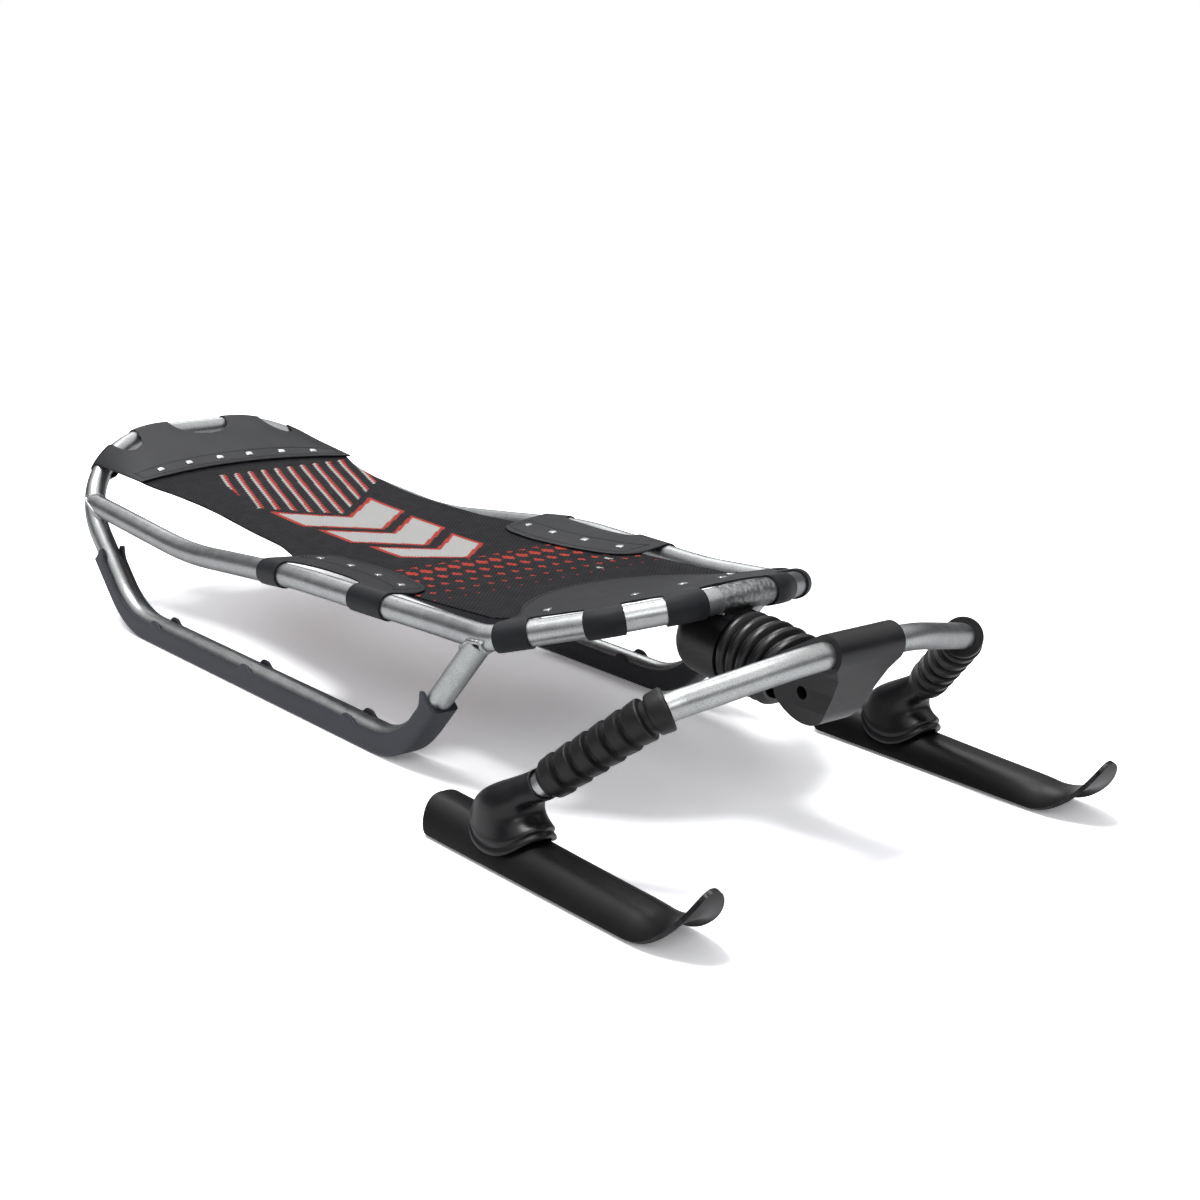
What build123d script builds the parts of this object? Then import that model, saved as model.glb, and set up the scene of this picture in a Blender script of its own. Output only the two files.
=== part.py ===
"""Steerable snow sled: bent-tube frame, slung mesh seat, pivoting front bar on two short skis.

Frame of reference: +X forwards, +Y to the rider's left, +Z up, millimetres.
The origin is on the floor, under the middle of the sled's bounding box.
"""
import math
import os

from build123d import *

os.makedirs("parts", exist_ok=True)

# ---- driving dimensions -------------------------------------------------------------------
TUBE_R = 12.5             # every frame tube and the steering bar
WALL = 1.6
RUNNER_Y = 183.0          # half track of the runners
RUNNER_Z = 17.5           # runner tube's centre above the floor
BEND_R = 110.0            # runner's heel and toe bends
HOOP_R = 138.0            # the two bends of the rear hoop
HOOP_TOP_Z = 198.5
BAR_TOP_Z = 194.5         # steering bar's middle
BAR_TOP_X = 549.5
KINGPIN_X = 374.0         # steering axis, upright
KINGPIN_R = 6.0
SKI_Y = 249.0             # half track of the skis
SKI_TAIL_X = 276.0
SKI_TIP_X = 654.0
SKI_W = 65.0
SKI_T = 5.0
SKI_PIVOT_X = 362.5       # each ski rocks about a cross pin here
SKI_PIVOT_Z = 44.0
SKI_PIN_R = 5.0
CLOTH_T = 2.4             # mesh sling
PATCH_T = 1.8             # vinyl edge patches
GAP = 0.3                 # vinyl strap to tube, rubber to plastic, and sliding fits
WELD_FIT = 0.05           # a coped or clamped face stops this short of the tube it meets
PIN_FIT = 0.15            # a bore is this much larger than its pin, on the radius
LONG = 400.0              # longer than any one piece: for blocks and bars that trim others

# ---- tube centre lines, left side ----------------------------------------------------------
HEEL = (-464.0, RUNNER_Y, RUNNER_Z)
TOE = (118.5, RUNNER_Y, RUNNER_Z)
HOOP_CORNER = (-643.0, 184.0, HOOP_TOP_Z)
LEG_TOP = (246.0, 185.0, 158.0)
RAIL_WELD = (-580.0, 176.0, 134.0)
RAIL_DIP = (-335.0, 177.0, 120.5)
RAIL_WAIST = (-75.0, 192.0, 151.0)
RAIL_THIGH = (155.0, 178.0, 155.0)
RAIL_CORNER = (256.0, 184.0, 161.5)
NOSE_SIDE = (351.0, 122.0, 190.0)
NOSE_TURN = (387.0, 56.0, 202.0)
NOSE_TIP = (396.5, 0.0, 207.0)
BAR_TOP = (BAR_TOP_X, 0.0, BAR_TOP_Z)
BAR_SIDE = (547.5, 70.0, 192.0)
BAR_SHOULDER = (507.0, 194.0, 161.5)
BAR_ANKLE = (408.0, 246.0, 73.5)
SKI_PIN_AT = (SKI_PIVOT_X, SKI_Y, SKI_PIVOT_Z)


# ---- shared shapes -------------------------------------------------------------------------
def flip(point):
    """The same point on the other side of the sled."""
    return (point[0], -point[1], point[2])


def mirror_y(shape):
    """The same piece on the other side of the sled."""
    return mirror(shape, about=Plane.XZ)


def on_line(start, end, share):
    """The point a share of the way from start to end."""
    return tuple(a + (b - a) * share for a, b in zip(start, end))


def path_of(points, radii):
    """Straight runs through the points, joined by tangent arcs of the given radii."""
    return FilletPolyline(*points, radius=radii)


def round_band(path, inner_r, outer_r, x_range, y_range):
    """The stretch of a sleeve round a path that lies between two X and two Y limits."""
    sleeve = rod(path, outer_r) - rod(path, inner_r)
    width = x_range[1] - x_range[0]
    depth = y_range[1] - y_range[0]
    middle = (sum(x_range) / 2, sum(y_range) / 2, 0)
    return sleeve & (Pos(*middle) * Box(width, depth, 2 * LONG))


def rod(path, radius):
    """A solid round bar along a path."""
    start = Plane(origin=path @ 0, z_dir=path % 0)
    return sweep(start * Circle(radius), path=path)


def tube(path, outer_r=TUBE_R, wall=WALL):
    """A hollow tube along a path."""
    start = Plane(origin=path @ 0, z_dir=path % 0)
    return sweep(start * (Circle(outer_r) - Circle(outer_r - wall)), path=path)


def save(name, shape):
    """One STEP file per sub-part."""
    export_step(shape, "parts/" + name + ".step")


def save_pair(stem, left):
    """The left-hand piece and its mirror image."""
    save(stem + "_left", left)
    save(stem + "_right", mirror_y(left))


# ---- rear hoop: one bent tube, shoulder to shoulder ----------------------------------------
HOOP_FOOT = on_line(HEEL, HOOP_CORNER, 0.44)      # butt joint of hoop and runner tube
hoop_path = path_of([HOOP_FOOT, HOOP_CORNER, flip(HOOP_CORNER), flip(HOOP_FOOT)], [HOOP_R, HOOP_R])
save("rear_hoop", tube(hoop_path))

# ---- seat rails: fish-mouthed on to the hoop, up over the legs, in towards the nose --------
RAIL_SPLIT = on_line(RAIL_CORNER, NOSE_SIDE, 0.2)      # butt joint under the corner strap
rail_path = path_of([RAIL_WELD, RAIL_DIP, RAIL_WAIST, RAIL_THIGH, RAIL_CORNER, RAIL_SPLIT],
                    [600, 500, 400, 50])
seat_rail = tube(rail_path) - rod(hoop_path, TUBE_R + WELD_FIT)
save_pair("seat_rail", seat_rail)

bow_path = path_of([RAIL_SPLIT, NOSE_SIDE, NOSE_TURN, NOSE_TIP,
                    flip(NOSE_TURN), flip(NOSE_SIDE), flip(RAIL_SPLIT)], [60, 50, 200, 50, 60])
nose_bow = tube(bow_path)
save("nose_bow", nose_bow)

# ---- runner tubes: down from the hoop, along the floor, up the leg to the rail -------------
runner_path = path_of([HOOP_FOOT, HEEL, TOE, LEG_TOP], [BEND_R, BEND_R])
runner_tube = tube(runner_path) - rod(rail_path, TUBE_R + WELD_FIT)
save_pair("runner_tube", runner_tube)

# ---- runner covers: snap-on channels round the runner tubes --------------------------------
COVER_WALL = 2.6
COVER_SOLE = 5.0          # wear sole under the tube
COVER_CORNER_R = 4.0
COVER_TOP = 5.0           # side walls reach this far above the tube's centre
CLIP_TOP = 11.5           # clips and end ears reach this far
CLIP_R = 18.0             # rounded outline of a clip, seen from the side
CLIP_SPACING = 209.0
CLIP_FIRST_X = -388.0
CLIP_COUNT = 3
EAR_REACH = 30.0
NOTCH_R = 11.0            # rounded notch between the ears at each end
COVER_REAR = on_line(HEEL, HOOP_CORNER, 0.38)
COVER_FRONT = on_line(TOE, LEG_TOP, 0.54)
cover_path = path_of([COVER_REAR, HEEL, TOE, COVER_FRONT], [BEND_R, BEND_R])
cover_start = Plane(origin=cover_path @ 0, z_dir=cover_path % 0, x_dir=(0, 1, 0))


def cover_channel(top):
    """The U-shaped channel carried along the tube; its side walls stop at top above the tube's centre."""
    inner = TUBE_R + GAP
    outer = inner + COVER_WALL
    low = -TUBE_R - COVER_SOLE
    section = Pos(0, low) * Rectangle(2 * outer, top - low, align=(Align.CENTER, Align.MIN))
    section = fillet(section.vertices().sort_by(Axis.Y)[:2], COVER_CORNER_R)
    section = section - Circle(inner) - Pos(0, top) * Rectangle(2 * inner, 2 * top)
    return sweep(cover_start * section, path=cover_path)


def cross_drum(point, radius):
    """A round bar across the runner, centred on a point."""
    return Pos(*point) * Rot(90, 0, 0) * Cylinder(radius, 4 * TUBE_R)


clips = cross_drum(COVER_REAR, EAR_REACH) + cross_drum(COVER_FRONT, EAR_REACH)
for clip in range(CLIP_COUNT):
    clip_x = CLIP_FIRST_X + clip * CLIP_SPACING
    clips = clips + cross_drum((clip_x, RUNNER_Y, RUNNER_Z + CLIP_TOP - CLIP_R), CLIP_R)
runner_cover = cover_channel(COVER_TOP) + (cover_channel(CLIP_TOP) & clips)
runner_cover = runner_cover - cross_drum(COVER_REAR, NOTCH_R) - cross_drum(COVER_FRONT, NOTCH_R)
save_pair("runner_cover", runner_cover)

# ---- mesh seat: one sling, slung from the hoop, the rails and the nose ---------------------
SEAT_TOP = [(-569, 187), (-504, 167.5), (-300, 154), (-100, 151), (54, 157.2), (240, 170), (322, 197)]
SEAT_RADII = [150, 800, 800, 1000, 150]
SEAT_REAR_W = 145.0       # half widths of the mesh
SEAT_WAIST_W = 128.0
SEAT_FRONT_W = 152.0


def draped(lift, thickness, half_width=200):
    """A sheet over the full width that follows the seat's side profile, lifted off its top."""
    points = [(x, 0, z + lift + thickness / 2) for x, z in SEAT_TOP]
    path = path_of(points, SEAT_RADII)
    start = Plane(origin=path @ 0, z_dir=path % 0, x_dir=(0, 1, 0))
    return sweep(start * Rectangle(2 * half_width, thickness), path=path)


def seat_height(x):
    """Height of the mesh's top."""
    (x0, z0), (x1, z1) = [p for p in zip(SEAT_TOP, SEAT_TOP[1:]) if p[0][0] <= x][-1]
    return z0 + (z1 - z0) * (x - x0) / (x1 - x0)


def plan_prism(half_outline):
    """An upright block over a plan outline that is the same on both sides of the centre line."""
    edge = half_outline + [(x, -y) for x, y in reversed(half_outline)]
    outline = make_face(Polyline(*edge, close=True))
    return extrude(outline, LONG)


mesh_outline = [(-556, SEAT_REAR_W), (-495, SEAT_REAR_W), (-440, 131), (-360, SEAT_WAIST_W), (-260, 130),
                (-190, 138), (-130, SEAT_FRONT_W), (222, SEAT_FRONT_W), (262, 122), (318, 60)]
seat_mesh = draped(-CLOTH_T, CLOTH_T) & plan_prism(mesh_outline)
save("seat_mesh", seat_mesh)

# ---- vinyl patches: riveted to the mesh, with straps looped round the tubes ----------------
LOOP_IN = TUBE_R + GAP
LOOP_OUT = LOOP_IN + PATCH_T
PATCH_LIFT = 2.0          # clears the mesh's rounded valleys


def hoop_centre(y):
    """X and Z of the hoop tube's centre at a distance y from the middle plane."""
    if y <= HOOP_CORNER[1] - HOOP_R:
        return HOOP_CORNER[0], HOOP_CORNER[2]
    turn = math.asin((y - HOOP_CORNER[1] + HOOP_R) / HOOP_R)
    fall = HOOP_R * (1 - math.cos(turn)) * math.sqrt(0.5)
    return HOOP_CORNER[0] + fall, HOOP_CORNER[2] - fall


def rear_patch_section(y, front_x):
    """The patch in a plane across Y: from the top of the hoop tube down on to the mesh."""
    hoop_x, hoop_z = hoop_centre(abs(y))
    top = (hoop_x, y, hoop_z + LOOP_OUT)
    lift = PATCH_LIFT + PATCH_T
    upper = [top] + [(x, y, seat_height(x) + lift) for x in (-550, front_x)]
    lower = [(x, yy, z - PATCH_T) for x, yy, z in reversed(upper)]
    return make_face(Polyline(*upper, *lower, close=True))


STRAP_SPANS = [(40, 87), (122, 149)]     # each side of the middle, round the hoop
REAR_STATIONS = [(0, -524), (40, -524), (87, -522), (122, -514), (148, -504)]
stations = [(-y, x) for y, x in reversed(REAR_STATIONS[1:])] + REAR_STATIONS
rear_patch = loft([rear_patch_section(y, x) for y, x in stations], ruled=True)
rear_patch = rear_patch - rod(hoop_path, LOOP_IN)
for low, high in STRAP_SPANS:
    loop = round_band(hoop_path, LOOP_IN, LOOP_OUT, (-700, -560), (low, high))
    rear_patch = rear_patch + loop + mirror_y(loop)
WINDOWS = [(0, 40, 40), (104.5, 17.5, 42), (-104.5, 17.5, 42)]     # middle, half width, reach forwards
for y, half_w, reach in WINDOWS:
    window = Pos(HOOP_CORNER[0] - 10, y, 0) * scale(Cylinder(1, 2 * LONG), (reach, half_w, 1))
    rear_patch = rear_patch - window
save("rear_patch", rear_patch)

# side patches: outer edge hollowed between the two straps
SIDE_STRAPS = [(-137, -97), (34, 88)]
SIDE_OUT_Y = 186.0        # past the top of the rail
SIDE_IN = [(-128, 116), (92, 116)]
side_straps = [(x, SIDE_OUT_Y) for strap in SIDE_STRAPS for x in strap]
side_edge = [Line(*SIDE_IN), Line(SIDE_IN[1], side_straps[3]), Line(side_straps[3], side_straps[2]),
             ThreePointArc(side_straps[2], (-32, 166), side_straps[1]),
             Line(side_straps[1], side_straps[0]), Line(side_straps[0], SIDE_IN[0])]
side_sheet = extrude(make_face(Wire(side_edge)), LONG) & draped(PATCH_LIFT, PATCH_T)
side_patch = side_sheet - rod(rail_path, LOOP_IN)
for low, high in SIDE_STRAPS:
    side_patch = side_patch + round_band(rail_path, LOOP_IN, LOOP_OUT, (low, high), (100, 260))
save_pair("side_patch", side_patch)

# front patch: a crescent behind the nose bow, with three straps each side
NOSE_STRAPS = [           # each side: the tube it goes round, and its limits in X and Y
    (rail_path, (265, 300), (140, 220)), (bow_path, (265, 291), (140, 220)),
    (bow_path, (338, 368), (96, 130)), (bow_path, (366, 410), (34, 68))]
FRONT_STATIONS = [        # y, rear edge, last point on the mesh, top of the bow tube
    (0, 165, 318, 394.9, 206.2), (42, 171, 318, 389, 203), (76, 185, 314, 376, 198),
    (105, 206, 300, 360, 193), (124, 228, 286, 345, 188), (165, 262, 274, 285, 170.2)]
STEEPER_X = 240.0         # the mesh turns up towards the nose here


def front_patch_section(y, rear_x, last_x, tube_x, tube_z):
    """The patch in a plane across Y: up the mesh, then on to the top of the bow tube."""
    lift = PATCH_LIFT + PATCH_T
    bend_x = max(STEEPER_X, rear_x + 4)
    on_mesh = [(x, y, seat_height(x) + lift) for x in (rear_x, bend_x, last_x)]
    upper = on_mesh + [(tube_x, y, tube_z + LOOP_OUT)]
    lower = [(x, yy, z - PATCH_T) for x, yy, z in reversed(upper)]
    return make_face(Polyline(*upper, *lower, close=True))


front_rows = [(-row[0],) + row[1:] for row in reversed(FRONT_STATIONS[1:])] + FRONT_STATIONS
front_patch = loft([front_patch_section(*row) for row in front_rows], ruled=True)
front_patch = front_patch - rod(bow_path, LOOP_IN)
for path, x_range, y_range in NOSE_STRAPS:
    loop = round_band(path, LOOP_IN, LOOP_OUT, x_range, y_range)
    front_patch = front_patch + loop + mirror_y(loop)
front_patch = front_patch - rod(rail_path, LOOP_IN) - mirror_y(rod(rail_path, LOOP_IN))
save("front_patch", front_patch)

# ---- steering pivot: a forked bracket under the nose holds an upright bolt -----------------
EAR_T = 4.0
EAR_W = 36.0
EAR_TOP_Z = 180.0         # underside of the upper ear
EAR_LOW_Z = 138.0         # top of the lower ear
FORK_BACK_X = KINGPIN_X - 22
FORK_FRONT_X = KINGPIN_X + 16
FORK_BEND_R = 6.0
BOW_UNDER = (NOSE_TIP[0] - 3, NOSE_TIP[2] - TUBE_R - 2)
GUSSET_T = 3.0

fork_line = [(FORK_FRONT_X, EAR_LOW_Z - EAR_T / 2), (FORK_BACK_X, EAR_LOW_Z - EAR_T / 2),
             (FORK_BACK_X, EAR_TOP_Z + EAR_T / 2), (FORK_FRONT_X, EAR_TOP_Z + EAR_T / 2),
             BOW_UNDER]
fork_path = path_of([(x, 0, z) for x, z in fork_line], [FORK_BEND_R, FORK_BEND_R, FORK_BEND_R + 1])
fork_start = Plane(origin=fork_path @ 0, z_dir=fork_path % 0, x_dir=(0, 1, 0))
fork = sweep(fork_start * Rectangle(EAR_W, EAR_T), path=fork_path)


def side_plane(y):
    """The plane across Y at a distance from the middle, its axes along X and Z."""
    return Plane(origin=(0, y, 0), x_dir=(1, 0, 0), z_dir=(0, -1, 0))


def upright_drum(radius):
    """A round bar on the steering axis, to bore the pieces on it."""
    return Pos(KINGPIN_X, 0, 0) * Cylinder(radius, 2 * LONG)


def gusset(y):
    """A side cheek that stiffens the fork's upper arm and meets the bow's underside."""
    edge = [(FORK_BACK_X, EAR_TOP_Z), (KINGPIN_X + 8, EAR_TOP_Z), (NOSE_TIP[0], 192),
            (NOSE_TIP[0] - 12, 204), (KINGPIN_X - 4, 197), (FORK_BACK_X, 186)]
    return extrude(side_plane(y) * make_face(Polyline(*edge, close=True)), GUSSET_T / 2, both=True)


pivot_bracket = fork + gusset((EAR_W - GUSSET_T) / 2) + gusset((GUSSET_T - EAR_W) / 2)
pivot_bracket = pivot_bracket - upright_drum(KINGPIN_R + PIN_FIT) - rod(bow_path, TUBE_R + WELD_FIT)
save("pivot_bracket", pivot_bracket)

NUT_T = 5.0
BOLT_HEAD_T = 6.0
NUT_R = 9.0               # over the corners of the hexagon
bolt_low_z = EAR_LOW_Z - EAR_T - NUT_T - 1
bolt_top_z = EAR_TOP_Z + EAR_T
kingpin = extrude(Pos(KINGPIN_X, 0, bolt_low_z) * Circle(KINGPIN_R), bolt_top_z - bolt_low_z)
bolt_head = extrude(Pos(KINGPIN_X, 0, bolt_top_z) * RegularPolygon(NUT_R, 6), BOLT_HEAD_T)
bolt_nut = extrude(Pos(KINGPIN_X, 0, bolt_low_z + 1) * RegularPolygon(NUT_R, 6), NUT_T)
save("kingpin", kingpin + bolt_head + bolt_nut)

# ---- rubber housing and bellows over the pivot ---------------------------------------------
HOUSING_R = 38.0
HOUSING_WALL = 3.5
HOUSING_AXIS_Z = 156.0
BELLOWS_REAR_X = 403.0
BELLOWS_FRONT_X = 466.0
BELLOWS_FRONT_Z = 150.0
BELLOWS_RIBS = 5
BELLOWS_CREST_R = 38.5
BELLOWS_VALLEY_R = 33.0
BELLOWS_WALL = 3.0
BELLOWS_TAPER = 0.5       # each rib is this much smaller in radius than the one behind
axis_dir = Vector(BELLOWS_FRONT_X - BELLOWS_REAR_X, 0, BELLOWS_FRONT_Z - HOUSING_AXIS_Z).normalized()
pivot_plane = Plane(origin=(BELLOWS_REAR_X, 0, HOUSING_AXIS_Z), x_dir=(0, 1, 0), z_dir=axis_dir)


def turned(profile):
    """A ring turned from a closed profile of (distance along the bellows axis, radius)."""
    wire = Polyline(*[(r, 0, s) for s, r in profile], close=True)
    return pivot_plane * revolve(make_face(wire), axis=Axis.Z)


def housing_cup(radius, back):
    """The cup's outline: a domed back that runs into a plain barrel."""
    barrel = Pos(0, 0, back / 2) * Cylinder(radius, -back)
    rear_rim = barrel.edges().sort_by(Axis.Z)[:1]
    return pivot_plane * fillet(rear_rim, radius * 0.55)


HOUSING_BACK = -64.0      # the back, along the bellows axis
bellows_start = 0.5       # clear of the housing's front face
outer_cup = housing_cup(HOUSING_R, HOUSING_BACK)
inner_cup = housing_cup(HOUSING_R - HOUSING_WALL, HOUSING_BACK + HOUSING_WALL)
bracket_slot = Pos(KINGPIN_X, 0, 190) * Box(70, EAR_W + 4, 30)
pivot_housing = outer_cup - inner_cup - bracket_slot
save("pivot_housing", pivot_housing)

length = (BELLOWS_FRONT_X - BELLOWS_REAR_X) / axis_dir.X
pitch = (length - 2 * bellows_start) / BELLOWS_RIBS
outer_line = [(bellows_start, BELLOWS_VALLEY_R)]
for rib in range(BELLOWS_RIBS):
    rib_start = bellows_start + rib * pitch
    crest = BELLOWS_CREST_R - BELLOWS_TAPER * rib
    valley = BELLOWS_VALLEY_R - BELLOWS_TAPER * rib
    outer_line += [(rib_start + 0.25 * pitch, crest), (rib_start + 0.75 * pitch, crest),
                   (rib_start + pitch, valley)]
inner_line = [(s, r - BELLOWS_WALL) for s, r in reversed(outer_line)]
pivot_bellows = turned(outer_line + inner_line)
save("pivot_bellows", pivot_bellows)

# ---- steering block: moulded body clamped round the bar, with a cross hole -----------------
SLEEVE_R = 17.5
SLEEVE_HALF_W = 40.0
TOW_HOLE = (507.0, 0, 146.0)
TOW_HOLE_R = 6.25
LOBE_R = 35.0             # rounded lower end of the block, round the cross hole
LOBE_HALF_W = 24.0
NECK_END = (494.0, 0, 151.0)
NECK_R = 10.0
BAR_BENDS = [30, 55, 150, 500, 150, 55, 30]


def side_profile():
    """The block seen from the side: the bar's sleeve joined to the lobe by two tangents."""
    sleeve = Pos(BAR_TOP_X, BAR_TOP_Z) * Circle(SLEEVE_R)
    lobe = Pos(TOW_HOLE[0] - 3, TOW_HOLE[2] + 3) * Circle(LOBE_R)
    return make_hull(sleeve.edges() + lobe.edges())


def front_profile():
    """The block seen from the front: full width at the sleeve, tapering to the lobe."""
    half = [(0, 100), (LOBE_HALF_W - 8, 110), (LOBE_HALF_W, 132), (LOBE_HALF_W + 2, 152),
            (LOBE_HALF_W + 7, 170), (SLEEVE_HALF_W, 182), (SLEEVE_HALF_W, 240)]
    edge = half + [(-y, z) for y, z in reversed(half[1:])]
    return make_face(Polyline(*edge, close=True))


def cross_bore(point, radius, width=2 * LONG):
    """A round bar across the sled, centred on a point."""
    return Pos(*point) * Rot(90, 0, 0) * Cylinder(radius, width)


BAR_END = on_line(SKI_PIN_AT, BAR_ANKLE, 0.15)
bar_path = path_of([BAR_END, BAR_ANKLE, BAR_SHOULDER, BAR_SIDE, BAR_TOP, flip(BAR_SIDE),
                    flip(BAR_SHOULDER), flip(BAR_ANKLE), flip(BAR_END)], BAR_BENDS)
front_plane = Plane(origin=(LONG, 0, 0), x_dir=(0, 1, 0), z_dir=(1, 0, 0))
block = extrude(side_plane(0) * side_profile(), SLEEVE_HALF_W, both=True)
block = block & extrude(front_plane * front_profile(), LONG)
block = block + cross_bore(BAR_TOP, SLEEVE_R, 2 * SLEEVE_HALF_W)
block = block - rod(bar_path, TUBE_R + WELD_FIT)
neck_start = (KINGPIN_X, 0, (EAR_TOP_Z + EAR_LOW_Z) / 2)
neck_arm = rod(Line(neck_start, NECK_END), NECK_R)
block = block - cross_bore(TOW_HOLE, TOW_HOLE_R) - neck_arm
for side, face in (("left", 1), ("right", -1)):
    half = block & (Pos(LONG, face * LONG / 2, 0) * Box(LONG, LONG, 2 * LONG))
    save("steering_block_" + side, half)

# ---- steering neck: an eye on the pivot bolt and an arm into the block ---------------------
NECK_EYE_R = 15.0
EYE_CLEARANCE = 1.0
eye_low = EAR_LOW_Z + EYE_CLEARANCE
eye_height = EAR_TOP_Z - EYE_CLEARANCE - eye_low
eye = Pos(KINGPIN_X, 0, eye_low + eye_height / 2) * Cylinder(NECK_EYE_R, eye_height)
steering_neck = eye + neck_arm - upright_drum(KINGPIN_R + PIN_FIT)
save("steering_neck", steering_neck)

# ---- steering bar and its grips ------------------------------------------------------------
BOSS_R = 11.0             # eye of the ankle, on the ski's cross pin
BOSS_HALF_W = 11.0
CHEEK_R = 12.0
ANKLE_CUT_R = 20.0        # the tube stops this far from the pin
steering_bar = tube(bar_path) - cross_bore((SKI_PIVOT_X, 0, SKI_PIVOT_Z), ANKLE_CUT_R)
save("steering_bar", steering_bar)

bend_path = path_of([on_line(BAR_ANKLE, BAR_SHOULDER, 0.11), BAR_SHOULDER,
                     on_line(BAR_SHOULDER, BAR_SIDE, 0.2)], [55])
GRIP_RIBS = 7
GRIP_CORE_R = 16.5
GRIP_RIB_R = 20.0
GRIP_RIB_SHARE = 0.6      # share of each pitch that the rib takes up
GRIP_SHARE = 0.89         # share of the bend that the grip covers, from its lower end
grip_path = bend_path.trim(0, GRIP_SHARE)
grip = rod(grip_path, GRIP_CORE_R)
for rib in range(GRIP_RIBS):
    rib_start = (rib + 1 - GRIP_RIB_SHARE) / GRIP_RIBS
    grip = grip + rod(grip_path.trim(rib_start, (rib + 1) / GRIP_RIBS), GRIP_RIB_R)
grip = grip - rod(bar_path, TUBE_R + WELD_FIT)
save_pair("grip", grip)

# ---- ankles: plugs in the bar's ends, each with an eye on the ski's cross pin --------------
PLUG_R = TUBE_R - WALL - 0.4
plug_line = Line(SKI_PIN_AT, on_line(SKI_PIN_AT, BAR_ANKLE, 0.8))
ankle = cross_bore(SKI_PIN_AT, BOSS_R, 2 * BOSS_HALF_W) + rod(plug_line, PLUG_R)
ankle = ankle - cross_bore(SKI_PIN_AT, SKI_PIN_R + PIN_FIT)
save_pair("ankle", ankle)

# ---- skis: arched blades with a turned-up tip ----------------------------------------------
SKI_CREST = 25.0          # height of the arch over the floor
SKI_BEND_X = 570.0
SKI_BEND_R = 96.0
SKI_BEND_DEG = 62.0
bend = math.radians(SKI_BEND_DEG)
ski_line = Line((SKI_TAIL_X, SKI_Y, 0), (SKI_BEND_X, SKI_Y, 0))
curl_end, curl_mid = [(SKI_BEND_X + SKI_BEND_R * math.sin(turn), SKI_Y, SKI_BEND_R * (1 - math.cos(turn)))
                      for turn in (bend, bend / 2)]
ski_path = Wire([ski_line, ThreePointArc(ski_line @ 1, curl_mid, curl_end)])


def arch(half_width, crest):
    """A flat-topped arch across the ski, steep at its edges: z falls with the cube of y."""
    shares = [0.25 * step - 1 for step in range(9)]
    return Spline(*[(half_width * share, crest * (1 - abs(share) ** 3)) for share in shares])


def ski_section():
    """The ski's section: x is across the ski, y up from the floor."""
    half = SKI_W / 2
    upper = arch(half, SKI_CREST)
    under = arch(half - SKI_T, SKI_CREST - SKI_T)
    return make_face(Wire([upper, under, Line(upper @ 0, under @ 0), Line(upper @ 1, under @ 1)]))


ski_start = Plane(origin=ski_path @ 0, z_dir=ski_path % 0, x_dir=(0, 1, 0))
ski_blade = sweep(ski_start * ski_section(), path=ski_path)
half_ski = SKI_W / 2
tip_x = SKI_TIP_X - half_ski       # the tip is a half round, the tail a shallow arc
tail_x = SKI_TAIL_X + 12
ski_plan_edge = [Line((tail_x, half_ski), (tip_x, half_ski)),
                 ThreePointArc((tip_x, half_ski), (SKI_TIP_X, 0), (tip_x, -half_ski)),
                 Line((tip_x, -half_ski), (tail_x, -half_ski)),
                 ThreePointArc((tail_x, -half_ski), (SKI_TAIL_X, 0), (tail_x, half_ski))]
ski_plan = Pos(0, SKI_Y, -SKI_T) * extrude(make_face(Wire(ski_plan_edge)), LONG)
ski = ski_blade & ski_plan
save_pair("ski", ski)

# ---- ski mounts: a clevis on each ski's crest, and the cross pin through it ----------------
MOUNT_BASE_T = 4.0
MOUNT_BASE_LENGTH = 56.0
CHEEK_T = 4.0
CHEEK_FOOT = (44.0, 4.0)  # length and height of a cheek's foot on the base
CHEEK_GAP = 1.0           # each side of the ankle's eye
cheek_y = BOSS_HALF_W + CHEEK_GAP + CHEEK_T / 2
mount_width = 2 * cheek_y + CHEEK_T
base_top = SKI_CREST + MOUNT_BASE_T
base_low = SKI_CREST - 3.5        # the base is hollowed to sit on the arch


def cheek(y):
    """An ear of the clevis: round at the pin, square on the base."""
    ear = make_hull((Pos(SKI_PIVOT_X, SKI_PIVOT_Z) * Circle(CHEEK_R)).edges()
                    + (Pos(SKI_PIVOT_X, base_top) * Rectangle(*CHEEK_FOOT)).edges())
    return extrude(side_plane(y) * ear, CHEEK_T / 2, both=True)


base = Box(MOUNT_BASE_LENGTH, mount_width, base_top - base_low)
ski_mount = Pos(SKI_PIVOT_X, SKI_Y, (base_low + base_top) / 2) * base
ski_mount = ski_mount + cheek(SKI_Y + cheek_y) + cheek(SKI_Y - cheek_y)
ski_mount = ski_mount - ski - cross_bore(SKI_PIN_AT, SKI_PIN_R)
save_pair("ski_mount", ski_mount)
PIN_STANDS_OUT = 2.0      # each end of the cross pin, past the cheeks
save_pair("ski_pin", cross_bore(SKI_PIN_AT, SKI_PIN_R, mount_width + 2 * PIN_STANDS_OUT))

# ---- rubber boots over the ankles ----------------------------------------------------------
BOOT_WALL = 3.0
BOOT_RINGS = [            # centre x and z, forward tilt, half length, half width
    (384, 35, -2, 51, 37), (379, 48, -8, 46, 35.5), (380, 62, 0, 38, 33),
    (392, 73, 22, 28, 27), (410, 79, 42, 20.5, 20)]


def boot_ring(x, z, tilt, half_length, half_width, inset):
    """An oval cross-section of the boot, tilted about the cross axis."""
    lean = math.radians(tilt)
    plane = Plane(origin=(x, SKI_Y, z), x_dir=(math.cos(lean), 0, -math.sin(lean)),
                  z_dir=(math.sin(lean), 0, math.cos(lean)))
    return plane * Ellipse(half_length - inset, half_width - inset)


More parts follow.
